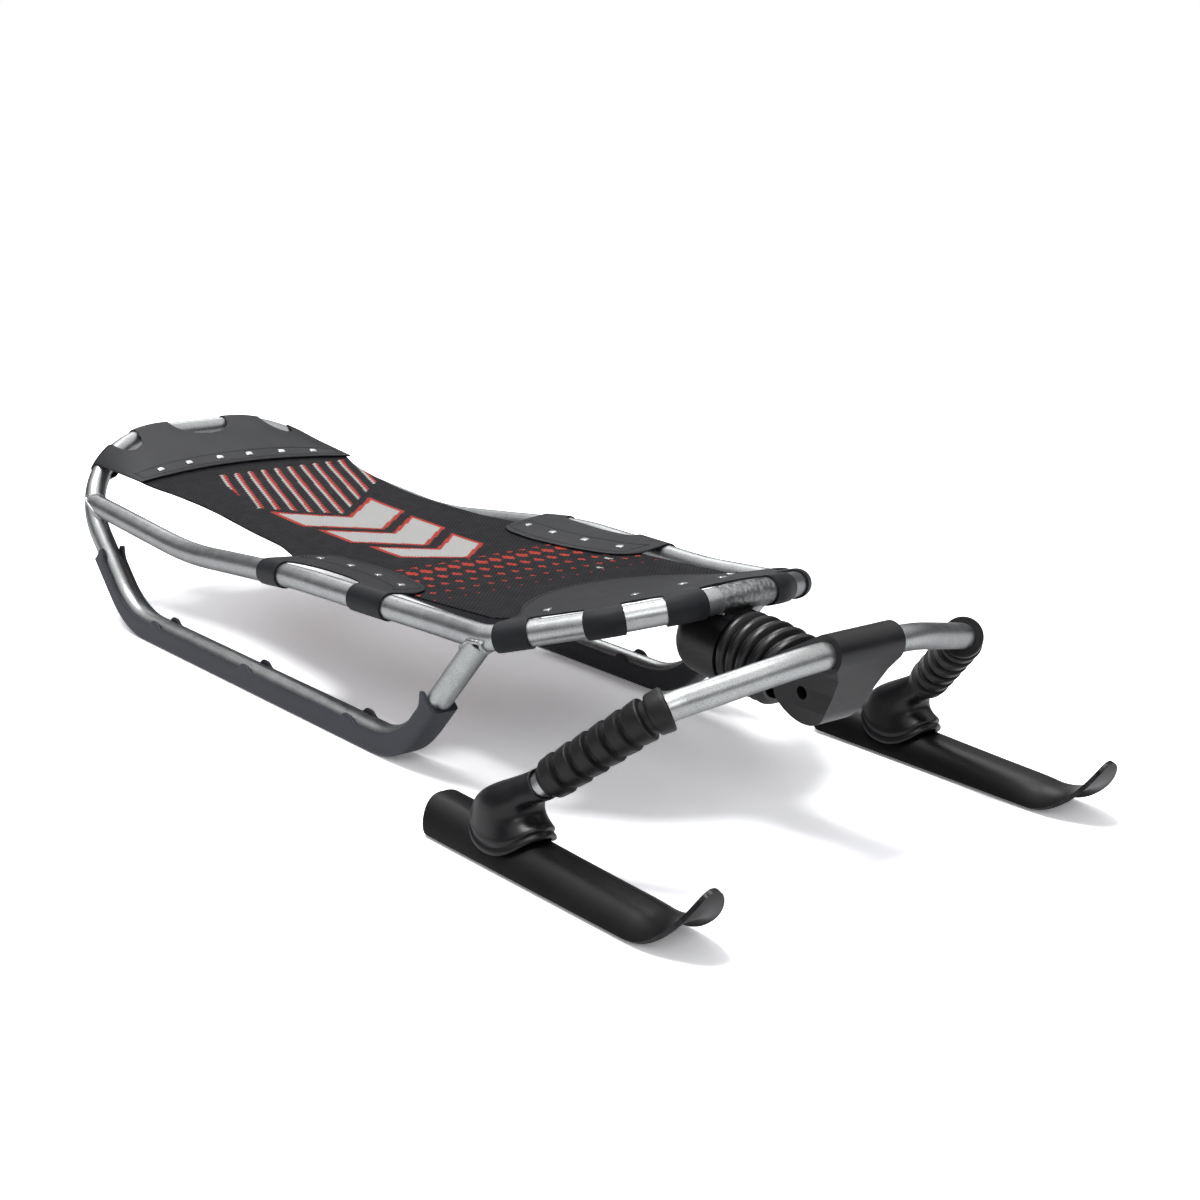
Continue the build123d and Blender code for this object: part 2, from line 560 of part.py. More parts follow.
boot_skin = loft([boot_ring(*ring, 0) for ring in BOOT_RINGS], ruled=True)
boot_inside = loft([boot_ring(*ring, BOOT_WALL) for ring in BOOT_RINGS], ruled=True)
boot = boot_skin - boot_inside - ski_mount - rod(bar_path, TUBE_R + GAP)
save_pair("boot", boot)
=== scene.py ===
"""The visual model of a steerable snow sled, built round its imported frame.

Sizes are in millimetres until a mesh is laid; +X is forwards, +Y left and +Z up, as in the frame.
Every new surface is a grid of points, rows by columns, worked out as whole arrays.
"""
import math

import bmesh
import bpy
import numpy as np
from mathutils import Matrix, Vector


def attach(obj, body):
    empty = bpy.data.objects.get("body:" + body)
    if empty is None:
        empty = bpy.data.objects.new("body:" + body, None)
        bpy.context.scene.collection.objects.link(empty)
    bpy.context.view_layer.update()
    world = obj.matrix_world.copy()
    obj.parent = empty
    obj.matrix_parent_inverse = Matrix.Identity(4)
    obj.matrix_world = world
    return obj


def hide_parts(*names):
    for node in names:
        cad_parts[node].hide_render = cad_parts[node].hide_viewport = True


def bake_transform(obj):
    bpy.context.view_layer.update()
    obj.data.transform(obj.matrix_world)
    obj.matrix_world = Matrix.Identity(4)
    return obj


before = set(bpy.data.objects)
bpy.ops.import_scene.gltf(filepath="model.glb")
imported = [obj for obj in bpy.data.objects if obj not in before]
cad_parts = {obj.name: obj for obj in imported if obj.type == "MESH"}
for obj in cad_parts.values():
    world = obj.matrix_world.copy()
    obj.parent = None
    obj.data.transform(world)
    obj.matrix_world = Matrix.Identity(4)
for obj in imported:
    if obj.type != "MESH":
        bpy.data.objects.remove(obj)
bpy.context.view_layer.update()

# ---- Frame tubes ---------------------------------------------------------------------------
# Round aluminium tube, bent cold: the rear hoop, two seat rails, the nose bow, two runner tubes
# and the steering bar. All have the same satin grey coat with a fine crystal glint.
MM = 0.001
TUBE_R = 12.5


def unit(vectors):
    """Vectors scaled to length one."""
    return vectors / np.linalg.norm(vectors, axis=-1, keepdims=True)


def evenly(line, step):
    """The same line with its points a step apart, measured along it."""
    travel = np.r_[0, np.cumsum(np.linalg.norm(np.diff(line, axis=0), axis=1))]
    at = np.linspace(0, travel[-1], max(3, round(travel[-1] / step) + 1))
    return np.stack([np.interp(at, travel, line[:, k]) for k in range(3)], -1)


def bent_line(corners, radii, step=2.0):
    """A tube's centre line: straight runs, with an arc of each radius tangent to both runs at a corner."""
    corners = np.array(corners, float)
    points = [corners[:1]]
    for before, corner, after, radius in zip(corners, corners[1:], corners[2:], radii):
        back = unit(before - corner)
        on = unit(after - corner)
        half = math.acos(float(back @ on)) / 2
        middle = unit(back + on)
        across = unit(on - back)
        turn = np.linspace(half - math.pi / 2, math.pi / 2 - half, 24)[:, None]
        centre = corner + middle * radius / math.sin(half)
        points.append(centre - middle * radius * np.cos(turn) + across * radius * np.sin(turn))
    points.append(corners[-1:])
    return evenly(np.concatenate(points), step)


def share(start, end, amount):
    """The point a share of the way from start to end."""
    return np.array(start) + (np.array(end) - np.array(start)) * amount


FLIP = np.array([1, -1, 1])
SIDES = (("left", np.ones(3)), ("right", FLIP))
HEEL = np.array([-464.0, 183, 17.5])
TOE = np.array([118.5, 183, 17.5])
HOOP_CORNER = np.array([-643.0, 184, 198.5])
LEG_TOP = np.array([246.0, 185, 158])
RAIL_WELD = np.array([-580.0, 176, 134])
RAIL_DIP = np.array([-335.0, 177, 120.5])
RAIL_CORNER = np.array([256.0, 184, 161.5])
NOSE_SIDE = np.array([351.0, 122, 190])
NOSE_TURN = np.array([387.0, 56, 202])
NOSE_TIP = np.array([396.5, 0, 207])
HOOP_FOOT = share(HEEL, HOOP_CORNER, 0.44)
RAIL_SPLIT = share(RAIL_CORNER, NOSE_SIDE, 0.2)
hoop_line = bent_line([HOOP_FOOT, HOOP_CORNER, HOOP_CORNER * FLIP, HOOP_FOOT * FLIP], [138, 138])
rail_line = bent_line([RAIL_WELD, RAIL_DIP, (-75, 192, 151), (155, 178, 155), RAIL_CORNER, RAIL_SPLIT],
                      [600, 500, 400, 50])
bow_line = bent_line([RAIL_SPLIT, NOSE_SIDE, NOSE_TURN, NOSE_TIP, NOSE_TURN * FLIP, NOSE_SIDE * FLIP,
                      RAIL_SPLIT * FLIP], [60, 50, 200, 50, 60])
rail_front = rail_line[rail_line[:, 0] > 150]
nose_line = evenly(np.concatenate([rail_front, bow_line[1:-1], (rail_front * FLIP)[::-1]]), 1.5)


def linear(red, green, blue):
    """A colour given as 0 to 255 screen values."""
    screen = np.array([red, green, blue]) / 255
    return (*np.where(screen < 0.04, screen / 12.92, ((screen + 0.055) / 1.055) ** 2.4), 1.0)


def add_node(tree, kind, inputs=(), **settings):
    """One shader node: settings are its options, and inputs are values or the sockets they come from."""
    made = tree.nodes.new("ShaderNode" + kind)
    for key, value in settings.items():
        setattr(made, key, value)
    for key, value in dict(inputs).items():
        if isinstance(value, bpy.types.NodeSocket):
            tree.links.new(value, made.inputs[key])
        else:
            made.inputs[key].default_value = value
    return made


def ramp(tree, factor, stops):
    """A colour ramp through (position, colour) stops."""
    made = add_node(tree, "ValToRGB", {"Fac": factor})
    for stop, (position, colour) in enumerate(stops):
        if stop < 2:
            element = made.color_ramp.elements[stop]
            element.position = position
        else:
            element = made.color_ramp.elements.new(position)
        element.color = colour
    return made.outputs["Color"]


def satin(name, shades, rough, grain, relief, metallic=0.0, drift=30.0, strength=0.5, gloss=0.5,
          speckle=0.0):
    """A satin finish: a slow noise drifts between two shades and two roughnesses, a fast one gives the
    grain, and speckle is the share of the fast noise in the shade."""
    finish = bpy.data.materials.new(name)
    finish.use_nodes = True
    tree = finish.node_tree
    shader = tree.nodes["Principled BSDF"]
    place = add_node(tree, "TexCoord").outputs["Object"]
    slow = add_node(tree, "TexNoise", {"Vector": place, "Scale": drift, "Detail": 6.0,
                                       "Roughness": 0.65}).outputs["Fac"]
    fast = add_node(tree, "TexNoise", {"Vector": place, "Scale": grain, "Detail": 2.0}).outputs["Fac"]
    tone = add_node(tree, "Mix", {0: speckle, 2: slow, 3: fast}).outputs[0]
    tree.links.new(ramp(tree, tone, [(0.32, shades[0]), (0.68, shades[1])]), shader.inputs["Base Color"])
    spread = add_node(tree, "MapRange", {"Value": slow, "From Min": 0.3, "From Max": 0.7,
                                         "To Min": rough[0], "To Max": rough[1]})
    tree.links.new(spread.outputs["Result"], shader.inputs["Roughness"])
    bump = add_node(tree, "Bump", {"Height": fast, "Strength": strength, "Distance": relief})
    tree.links.new(bump.outputs["Normal"], shader.inputs["Normal"])
    shader.inputs["Metallic"].default_value = metallic
    shader.inputs["Specular IOR Level"].default_value = gloss
    if metallic:
        shader.inputs["Specular Tint"].default_value = (0.42, 0.42, 0.43, 1)
    return finish


def dress(names, finish):
    """Gives carried-over nodes their finish."""
    for name in names:
        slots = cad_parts[name].data.materials
        slots.clear()
        slots.append(finish)


tube_coat = satin("tube_coat", (linear(156, 158, 158), linear(210, 212, 212)), (0.32, 0.4), 1100.0, 0.0002,
                  metallic=1.0, drift=60.0, strength=0.4, speckle=0.75)
dress(["rear_hoop", "nose_bow", "steering_bar", "seat_rail_left", "seat_rail_right", "runner_tube_left",
       "runner_tube_right"], tube_coat)

# ---- Weld beads ----------------------------------------------------------------------------
# Hand-run fillet welds where a rail meets the hoop and where a leg meets its rail: a rippled
# ring of weld metal, coated with the tubes.
BEAD_R, BEAD_RIPPLE, BEAD_SWELL = 2.2, 0.16, 0.2
BEAD_OFF = 0.4            # the bead's middle stands this far off the main tube's wall


def lay_mesh(name, grids, finish, sharp=35.0):
    """One object from grids of points in millimetres: points that coincide are joined, faces turned outwards
    and edges steeper than sharp degrees kept crisp."""
    points, faces, start = [], [], 0
    for grid in grids:
        rows, columns = grid.shape[:2]
        index = start + np.arange(rows * columns).reshape(rows, columns)
        corners = (index[:-1, :-1], index[:-1, 1:], index[1:, 1:], index[1:, :-1])
        faces.append(np.stack([c.ravel() for c in corners], -1))
        points.append(grid.reshape(-1, 3))
        start += rows * columns
    mesh = bpy.data.meshes.new(name)
    mesh.from_pydata((np.concatenate(points) * MM).tolist(), [], np.concatenate(faces).tolist())
    work = bmesh.new()
    work.from_mesh(mesh)
    bmesh.ops.remove_doubles(work, verts=work.verts, dist=2e-6)
    bmesh.ops.dissolve_degenerate(work, edges=work.edges, dist=1e-7)
    bmesh.ops.recalc_face_normals(work, faces=work.faces)
    work.to_mesh(mesh)
    work.free()
    mesh.shade_smooth()
    mesh.set_sharp_from_angle(angle=math.radians(sharp))
    mesh.materials.append(finish)
    piece = bpy.data.objects.new(name, mesh)
    bpy.context.scene.collection.objects.link(piece)
    return piece


def ring_section(radius, columns=12):
    """A round section as (sideways, upward) columns; the last column repeats the first."""
    turn = np.linspace(0, 2 * math.pi, columns + 1)
    return np.stack([np.cos(turn), np.sin(turn)], -1) * np.expand_dims(radius, (-1, -2))


def carried(line, section, upward, closed=False):
    """A section of (sideways, upward) columns carried square along a line of points."""
    if closed:
        heading = unit(np.roll(line, -1, 0) - np.roll(line, 1, 0))
    else:
        heading = unit(np.gradient(line, axis=0))
    side = unit(np.cross(upward, heading))[:, None]
    up = np.cross(heading[:, None], side)
    grid = line[:, None] + side * section[..., :1] + up * section[..., 1:]
    return np.concatenate([grid, grid[:1]]) if closed else grid


def weld_bead(branch, run, line):
    """Each line along the branch's wall runs on until it touches the main tube's wall: the root of
    |across + reach * drift| = tube radius. The bead follows those points."""
    nearest = np.linalg.norm(line - branch, axis=1).argmin()
    main = line[nearest]
    axis = unit(np.gradient(line, axis=0))[nearest]
    first = unit(np.cross(run, axis))
    second = np.cross(run, first)
    turn = np.linspace(0, 2 * math.pi, 97)[:-1, None]
    wall = branch + TUBE_R * (np.cos(turn) * first + np.sin(turn) * second)
    offset = wall - main
    across = offset - (offset @ axis)[:, None] * axis
    drift = run - (run @ axis) * axis
    a, b, c = drift @ drift, across @ drift, (across ** 2).sum(1) - (TUBE_R + BEAD_OFF) ** 2
    reach = (-b + np.sqrt(np.maximum(b * b - a * c, 0))) / a
    ring = wall + reach[:, None] * run
    ripple = BEAD_R + BEAD_RIPPLE * np.sin(22 * turn[:, 0]) + BEAD_SWELL * np.sin(5 * turn[:, 0] + 1)
    return carried(ring, ring_section(ripple, 10), ring - ring.mean(0) + run * 0.01, closed=True)


rail_run = unit(RAIL_DIP - RAIL_WELD)
leg_run = unit(TOE - LEG_TOP)
welds = []
for _, flip in SIDES:
    welds.append(weld_bead(RAIL_WELD * flip, rail_run * flip, hoop_line))
    welds.append(weld_bead(LEG_TOP * flip, leg_run * flip, rail_line * flip))
weld_seams = lay_mesh("weld_seams", welds, tube_coat)
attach(weld_seams, "frame")

# ---- Nose weld -----------------------------------------------------------------------------
# Weld metal run thick round the middle of the nose bow, where the pivot bracket is joined to it:
# lumpy and dull beside the drawn tube.
UP = np.array([0, 0, 1.0])
NOSE_WELD_Y, NOSE_WELD_HALF = 6.0, 34.0
WELD_SKIN, WELD_BUILD, WELD_LUMP = 0.05, 0.75, 0.5      # over the tube: at the rims, in the middle, lumps
on_weld = (np.abs(bow_line[:, 1] - NOSE_WELD_Y) < NOSE_WELD_HALF) & (bow_line[:, 0] > 380)
nose_middle = bow_line[on_weld]
weld_u = np.linspace(0, 1, len(nose_middle))[:, None]
weld_turn = np.linspace(0, 2 * math.pi, 49)
lumps = (0.5 * np.sin(11 * weld_u + 2 * np.sin(3 * weld_turn)) * np.sin(4 * weld_turn + 9 * weld_u)
         + 0.3 * np.sin(23 * weld_u + 5 * weld_turn))
weld_r = TUBE_R + WELD_SKIN + (WELD_BUILD + WELD_LUMP * lumps) * np.sin(math.pi * weld_u) ** 0.5
weld_r[[0, -1]] = 0.0                                   # the end rings shrink to points inside the tube
weld_heading = unit(np.gradient(nose_middle, axis=0))
weld_side = unit(np.cross(UP, weld_heading))
weld_up = np.cross(weld_heading, weld_side)
weld_grid = (nose_middle[:, None] + (weld_r * np.cos(weld_turn))[..., None] * weld_side[:, None]
             + (weld_r * np.sin(weld_turn))[..., None] * weld_up[:, None])
weld_metal = satin("weld_metal", (linear(120, 122, 122), linear(190, 192, 192)), (0.28, 0.46), 260.0, 0.0014,
                   metallic=1.0, drift=140.0, strength=0.7, speckle=0.4)
nose_weld = lay_mesh("nose_weld", [weld_grid], weld_metal, sharp=60.0)
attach(nose_weld, "frame")

# ---- Runner covers -------------------------------------------------------------------------
# Moulded channels of tough slate-grey plastic, snapped on round the runner tubes: a sole that
# slides on snow, side walls with three clips, and rounded ears at each end.
RUNNER_BEND = 110.0
COVER_OUT, COVER_IN, COVER_GRIP = 15.3, 12.7, 11.6      # half widths: outside, round the tube, at the lips
SOLE, SOLE_LEG, SOLE_ROUND = 17.5, 14.6, 4.0            # under the tube's middle: along the floor, up a leg
WALL_TOP, CLIP_RISE, EAR_RISE = 5.0, 6.0, 8.5
CLIP_HALF, EAR_LENGTH = 10.0, 20.0
CLIPS_X = np.array([-388.0, -179.0, 30.0])
cover_line = bent_line([share(HEEL, HOOP_CORNER, 0.37), HEEL, TOE, share(TOE, LEG_TOP, 0.465)],
                       [RUNNER_BEND, RUNNER_BEND], 1.0)
cover_travel = np.r_[0, np.cumsum(np.linalg.norm(np.diff(cover_line, axis=0), axis=1))]
cover_s = evenly(np.array([(0.0, 0, 0), (cover_travel[-1], 0, 0)]), 2.5)[:, 0]
cover_x, cover_z = (np.interp(cover_s, cover_travel, cover_line[:, k]) for k in (0, 2))
from_end = np.minimum(cover_s, cover_travel[-1] - cover_s)
clip_rise = (CLIP_RISE * np.exp(-(((cover_x[:, None] - CLIPS_X) / CLIP_HALF) ** 4))).max(1) * (cover_z < 30)
ear_rise = EAR_RISE * (0.5 + 0.5 * np.cos(math.pi * np.clip(from_end / EAR_LENGTH, 0, 1)))
wall_top = WALL_TOP + np.maximum(clip_rise, ear_rise)
sole = SOLE + (SOLE_LEG - SOLE) * np.clip((cover_z - 22) / 25, 0, 1)


def channel(top, depth):
    """A U section for each row as (sideways, upward) columns. Each half starts in the middle of the inside,
    goes round the tube and up to a rounded lip, then down the outside wall and round the corner of the sole
    to its middle."""
    corner = np.linspace(0, math.pi / 2, 6)
    lip = np.linspace(0, math.pi, 6)[1:-1]
    wall = (COVER_OUT - COVER_GRIP) / 2
    down = np.linspace(0, 1, 5)
    outer_x = np.r_[np.full(5, COVER_OUT), COVER_OUT - SOLE_ROUND * (1 - np.cos(corner[1:])), 0]
    corner_z = (SOLE_ROUND - depth)[:, None] - SOLE_ROUND * np.sin(corner[1:])
    outer_z = np.concatenate([top[:, None] + (SOLE_ROUND - depth - top)[:, None] * down,
                              corner_z, -depth[:, None]], 1)
    inner_turn = np.linspace(0, 1, 15)
    start = np.arcsin(np.clip(top / COVER_IN, -1, 1))[:, None]
    swing = start + (-math.pi / 2 - start) * inner_turn
    inner_x = np.maximum(COVER_IN * np.cos(swing), COVER_GRIP * (swing > 0))
    inner_z = np.where(swing > 0, top[:, None] * np.sin(swing) / np.sin(np.maximum(start, 0.01)),
                       COVER_IN * np.sin(swing))
    lip_x = np.broadcast_to((COVER_OUT + COVER_GRIP) / 2 - wall * np.cos(lip), (len(top), 4))
    lip_z = top[:, None] + wall * np.sin(lip)
    x = np.concatenate([inner_x[:, ::-1], lip_x, np.broadcast_to(outer_x, (len(top), outer_x.size))], 1)
    z = np.concatenate([inner_z[:, ::-1], lip_z, outer_z], 1)
    right = np.stack([x, z], -1)
    left = right[:, ::-1] * np.array([-1, 1])
    return np.concatenate([right, left[:, 1:]], 1)


section = channel(wall_top, sole)
# each end is cut a little hollow, and the ear's tip is rounded off
level = section[..., 1]
notch = 2.5 * np.clip(1 - ((level + 3.5) / 15.5) ** 2, 0, 1) + 5.0 * np.clip((level - 7) / 8.5, 0, 1) ** 2
fade = np.exp(-cover_s / 26) - np.exp(-(cover_travel[-1] - cover_s) / 26)
place = cover_s[:, None] + notch * fade[:, None]
cover_heading = unit(np.gradient(cover_line, axis=0))
at, heading = (np.stack([np.interp(place, cover_travel, rows[:, k]) for k in range(3)], -1)
               for rows in (cover_line, cover_heading))
heading = unit(heading)
side = np.broadcast_to(np.array([0.0, 1, 0]), heading.shape)
cover_grid = at + side * section[..., :1] + np.cross(heading, side) * section[..., 1:]
# the cut ends are closed by strips from the inside of each wall to its outside
cover_ends = []
for row in (cover_grid[0], cover_grid[-1]):
    cover_ends += [np.stack([row[:15], row[29:14:-1]]), np.stack([row[:43:-1], row[29:44]])]
slate = satin("runner_plastic", (linear(50, 52, 58), linear(62, 64, 71)), (0.44, 0.56), 900.0, 0.0003,
              drift=18.0, gloss=0.32)
for name, flip in SIDES:
    cover = lay_mesh("runner_channel_" + name, [grid * flip for grid in [cover_grid, *cover_ends]], slate)
    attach(cover, "frame")
    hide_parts("runner_cover_" + name)

# ---- Seat mesh -----------------------------------------------------------------------------
# A sling of coated polyester yarn, plain woven in black with red and white yarns floated up for
# the pattern. It is drawn in at the waist by its own pull and riveted to the vinyl patches.
SEAT_SIDE = np.array([(-569.0, 187), (-504, 167.5), (-300, 154), (-100, 151), (54, 157.2), (240, 170),
                      (322, 197)])                      # X and Z of the upper face
MESH_BACK, MESH_FRONT = -556.0, 318.0
CLOTH_T = 1.6
MESH_EDGE = np.array([(-556, 145), (-515, 148), (-490, 141), (-452, 133), (-400, 127.5), (-360, 126),
                      (-310, 127.5), (-254, 132), (-198, 136), (-145, 150), (-130, 151), (220, 151),
                      (237, 140), (262, 118), (318, 60)])   # X and half width
YARN = 2.7                # pitch of the weave


def rounded_through(x, table, width):
    """Values of a table of (x, value) at x, its corners rounded by averaging over a width."""
    spread = np.linspace(-0.5, 0.5, 21) * width
    return np.interp(np.asarray(x)[..., None] + spread, table[:, 0], table[:, 1]).mean(-1)


def seat_top(x):
    """Height of the sling's upper face at a distance forwards."""
    return rounded_through(x, SEAT_SIDE, 60.0)


def woven(name):
    """Plain weave from the piece's own UV map in metres: each cell shows the warp or the weft yarn, its
    height sin(pi * f) across the yarn for a fraction f of the cell, and falls away along it. The height
    raises the bump, and it also darkens the colour between the crowns as painted shade."""
    finish = bpy.data.materials.new(name)
    finish.use_nodes = True
    tree = finish.node_tree
    shader = tree.nodes["Principled BSDF"]

    def calc(operation, *values):
        made = add_node(tree, "Math", enumerate(values), operation=operation)
        return made.outputs["Value"]

    def apart(value, middle):
        return calc("ABSOLUTE", calc("SUBTRACT", value, middle))

    def between(value, low, high):
        return calc("MULTIPLY", calc("GREATER_THAN", value, low), calc("LESS_THAN", value, high))

    def either(*masks):
        total = masks[0]
        for mask in masks[1:]:
            total = calc("MAXIMUM", total, mask)
        return total

    flat = add_node(tree, "SeparateXYZ", {"Vector": add_node(tree, "UVMap").outputs["UV"]}).outputs
    cell = [calc("DIVIDE", flat[axis], YARN * MM) for axis in ("X", "Y")]
    number = [calc("FLOOR", c) for c in cell]
    inside = [calc("SINE", calc("MULTIPLY", calc("FRACT", c), math.pi)) for c in cell]
    over = calc("MODULO", calc("ADD", calc("ABSOLUTE", number[0]), calc("ABSOLUTE", number[1])), 2.0)
    crown = [calc("MULTIPLY", one, calc("ADD", calc("MULTIPLY", other, 0.45), 0.55))
             for one, other in (inside, inside[::-1])]
    height = calc("ADD", calc("MULTIPLY", crown[0], over),
                  calc("MULTIPLY", crown[1], calc("SUBTRACT", 1.0, over)))
    # pattern, one colour to a cell: u runs across and v forwards, in millimetres
    u, v = [calc("MULTIPLY", calc("ADD", n, 0.5), YARN) for n in number]
    wide = calc("ABSOLUTE", u)
    # three arrowheads down the middle, white with a red border, as (tip's line, depth, half width)
    arrow = calc("ADD", v, calc("MULTIPLY", wide, 0.9))
    heads, borders = [], []
    for front, depth, half in ((-205.0, 62.0, 66.0), (-118.0, 56.0, 60.0), (-38.0, 48.0, 52.0)):
        heads.append(calc("MULTIPLY", between(arrow, front - depth, front), calc("LESS_THAN", wide, half)))
        borders.append(calc("MULTIPLY", between(arrow, front - depth - 7, front + 7),
                            calc("LESS_THAN", wide, half + 5)))
    # slanting speed lines behind them, red beside white
    slant = calc("ADD", calc("MULTIPLY", v, 0.34), u)
    lane = calc("MODULO", calc("ADD", slant, 2000.0), 19.0)
    fan = calc("MULTIPLY", between(v, -500.0, -262.0), calc("LESS_THAN", arrow, -288.0))
    reach = calc("MULTIPLY", fan, calc("GREATER_THAN", calc("ADD", u, calc("MULTIPLY", v, 0.2)), -150.0))
    white_lines = calc("MULTIPLY", reach, calc("LESS_THAN", lane, 3.4))
    red_lines = calc("MULTIPLY", reach, between(lane, 3.4, 7.4))
    # a drift of red lozenges that thins out towards the nose
    lengthwise = apart(calc("MODULO", calc("ADD", v, 2000.0), 30.0), 15.0)
    crosswise = apart(calc("MODULO", calc("ADD", u, 2009.0), 18.0), 9.0)
    lozenge = calc("ADD", lengthwise, calc("MULTIPLY", crosswise, 1.6))
    fade = calc("MULTIPLY", calc("SUBTRACT", 150.0, v), 0.075)
    drift = calc("MULTIPLY", between(v, -30.0, 150.0), calc("LESS_THAN", lozenge, fade))
    drift = calc("MULTIPLY", drift, calc("GREATER_THAN", arrow, -24.0))
    # a few loose white specks in front of them
    drawn_out = add_node(tree, "CombineXYZ", {"X": calc("MULTIPLY", u, 0.026),
                                              "Y": calc("MULTIPLY", v, 0.011)}).outputs["Vector"]
    centres = add_node(tree, "TexVoronoi", {"Vector": drawn_out, "Scale": 1.0},
                       feature="F1").outputs["Distance"]
    speck = calc("MULTIPLY", calc("LESS_THAN", centres, 0.075), calc("GREATER_THAN", v, 20.0))
    white = either(speck, white_lines, *heads)
    red = either(drift, red_lines, *borders)
    # the black yarn's colour at its crowns, lighter than the black yarn itself as a painted sheen, varied by
    # slow noise
    black_yarn_and_sheen = ramp(tree, add_node(tree, "TexNoise", {"Scale": 60.0, "Detail": 4.0,
                      "Vector": add_node(tree, "TexCoord").outputs["Object"]}).outputs["Fac"],
                      [(0.3, linear(60, 60, 64)), (0.7, linear(84, 84, 90))])
    red_mix = add_node(tree, "MixRGB", {"Fac": red, "Color1": black_yarn_and_sheen, "Color2": linear(236, 88, 74)})
    tone = add_node(tree, "MixRGB", {"Fac": white, "Color1": red_mix.outputs["Color"],
                                     "Color2": linear(244, 244, 242)}).outputs["Color"]
    # painted shade: the colour is multiplied by the yarn's height, so black yarn goes nearly dark in the gaps
    # between its crowns, and coloured yarn less so
    black_gap_shade = calc("ADD", calc("POWER", height, 3.4), 0.012)
    coloured_gap_shade = calc("MULTIPLY", either(white, red), calc("ADD", calc("MULTIPLY", height, 0.68), 0.32))
    depth = calc("MAXIMUM", black_gap_shade, coloured_gap_shade)
    painted_weave_shading = add_node(tree, "MixRGB", {"Fac": 1.0, "Color1": tone, "Color2": depth}, blend_type="MULTIPLY")
    tree.links.new(painted_weave_shading.outputs["Color"], shader.inputs["Base Color"])
    bump = add_node(tree, "Bump", {"Height": height, "Strength": 1.0, "Distance": 0.0011})
    tree.links.new(bump.outputs["Normal"], shader.inputs["Normal"])
    shader.inputs["Roughness"].default_value = 0.5
    shader.inputs["Specular IOR Level"].default_value = 0.1
    return finish


def lay_sheet(name, grid, uv, finish, thickness):
    """A cloth surface with its own UV map, thickened evenly about the grid."""
    rows, columns = grid.shape[:2]
    index = np.arange(rows * columns).reshape(rows, columns)
    faces = np.stack([index[:-1, :-1], index[1:, :-1], index[1:, 1:], index[:-1, 1:]], -1).reshape(-1, 4)
    mesh = bpy.data.meshes.new(name)
    mesh.from_pydata((grid.reshape(-1, 3) * MM).tolist(), [], faces.tolist())
    layer = mesh.uv_layers.new(name="UVMap")
    layer.data.foreach_set("uv", (uv.reshape(-1, 2)[faces.ravel()] * MM).ravel())
    mesh.shade_smooth()
    mesh.materials.append(finish)
    piece = bpy.data.objects.new(name, mesh)
    bpy.context.scene.collection.objects.link(piece)
    wall = piece.modifiers.new("wall", "SOLIDIFY")
    wall.thickness = thickness * MM
    wall.offset = 0.0
    return piece


mesh_share = np.linspace(-1, 1, 73)[None]
mesh_back = MESH_BACK + 45.0 * np.abs(mesh_share) ** 4     # rear corners cut round, under the patch
mesh_x = mesh_back + (MESH_FRONT - mesh_back) * np.linspace(0, 1, 220)[:, None]
mesh_half = rounded_through(mesh_x, MESH_EDGE, 24.0)
mesh_y = mesh_half * mesh_share
edge_lift = 4.0 * np.abs(mesh_share) ** 4 * np.exp(-((mesh_x + 20) / 130) ** 2)
mesh_z = seat_top(mesh_x) - CLOTH_T / 2 - 0.4 + edge_lift * 0.4
mesh_grid = np.stack(np.broadcast_arrays(mesh_x, mesh_y, mesh_z), -1)
weave = woven("mesh_cloth")
seat_cloth = lay_sheet("seat_cloth", mesh_grid, mesh_grid[..., 1::-1], weave, CLOTH_T)
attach(seat_cloth, "frame")
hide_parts("seat_mesh")

# ---- Vinyl patches -------------------------------------------------------------------------
# Sheet vinyl on a fabric back, die cut. Each patch is riveted to the mesh between two rows of
# stitching, and its straps go over a tube, round it and back to the rivets underneath.
VINYL_T = 1.8
STRAP_R = TUBE_R + 0.3 + VINYL_T / 2      # middle of the vinyl on a tube
WRAP_COLUMNS, TAIL_COLUMNS = 22, 8
ROW_STEP = 2.5
FULL_SAG_SPAN = 120.0                     # a shorter span sags less, by the square of its length
vinyl = satin("patch_vinyl", (linear(29, 30, 33), linear(38, 39, 43)), (0.46, 0.56), 1300.0, 0.0003,
              drift=14.0, strength=0.5, gloss=0.22)


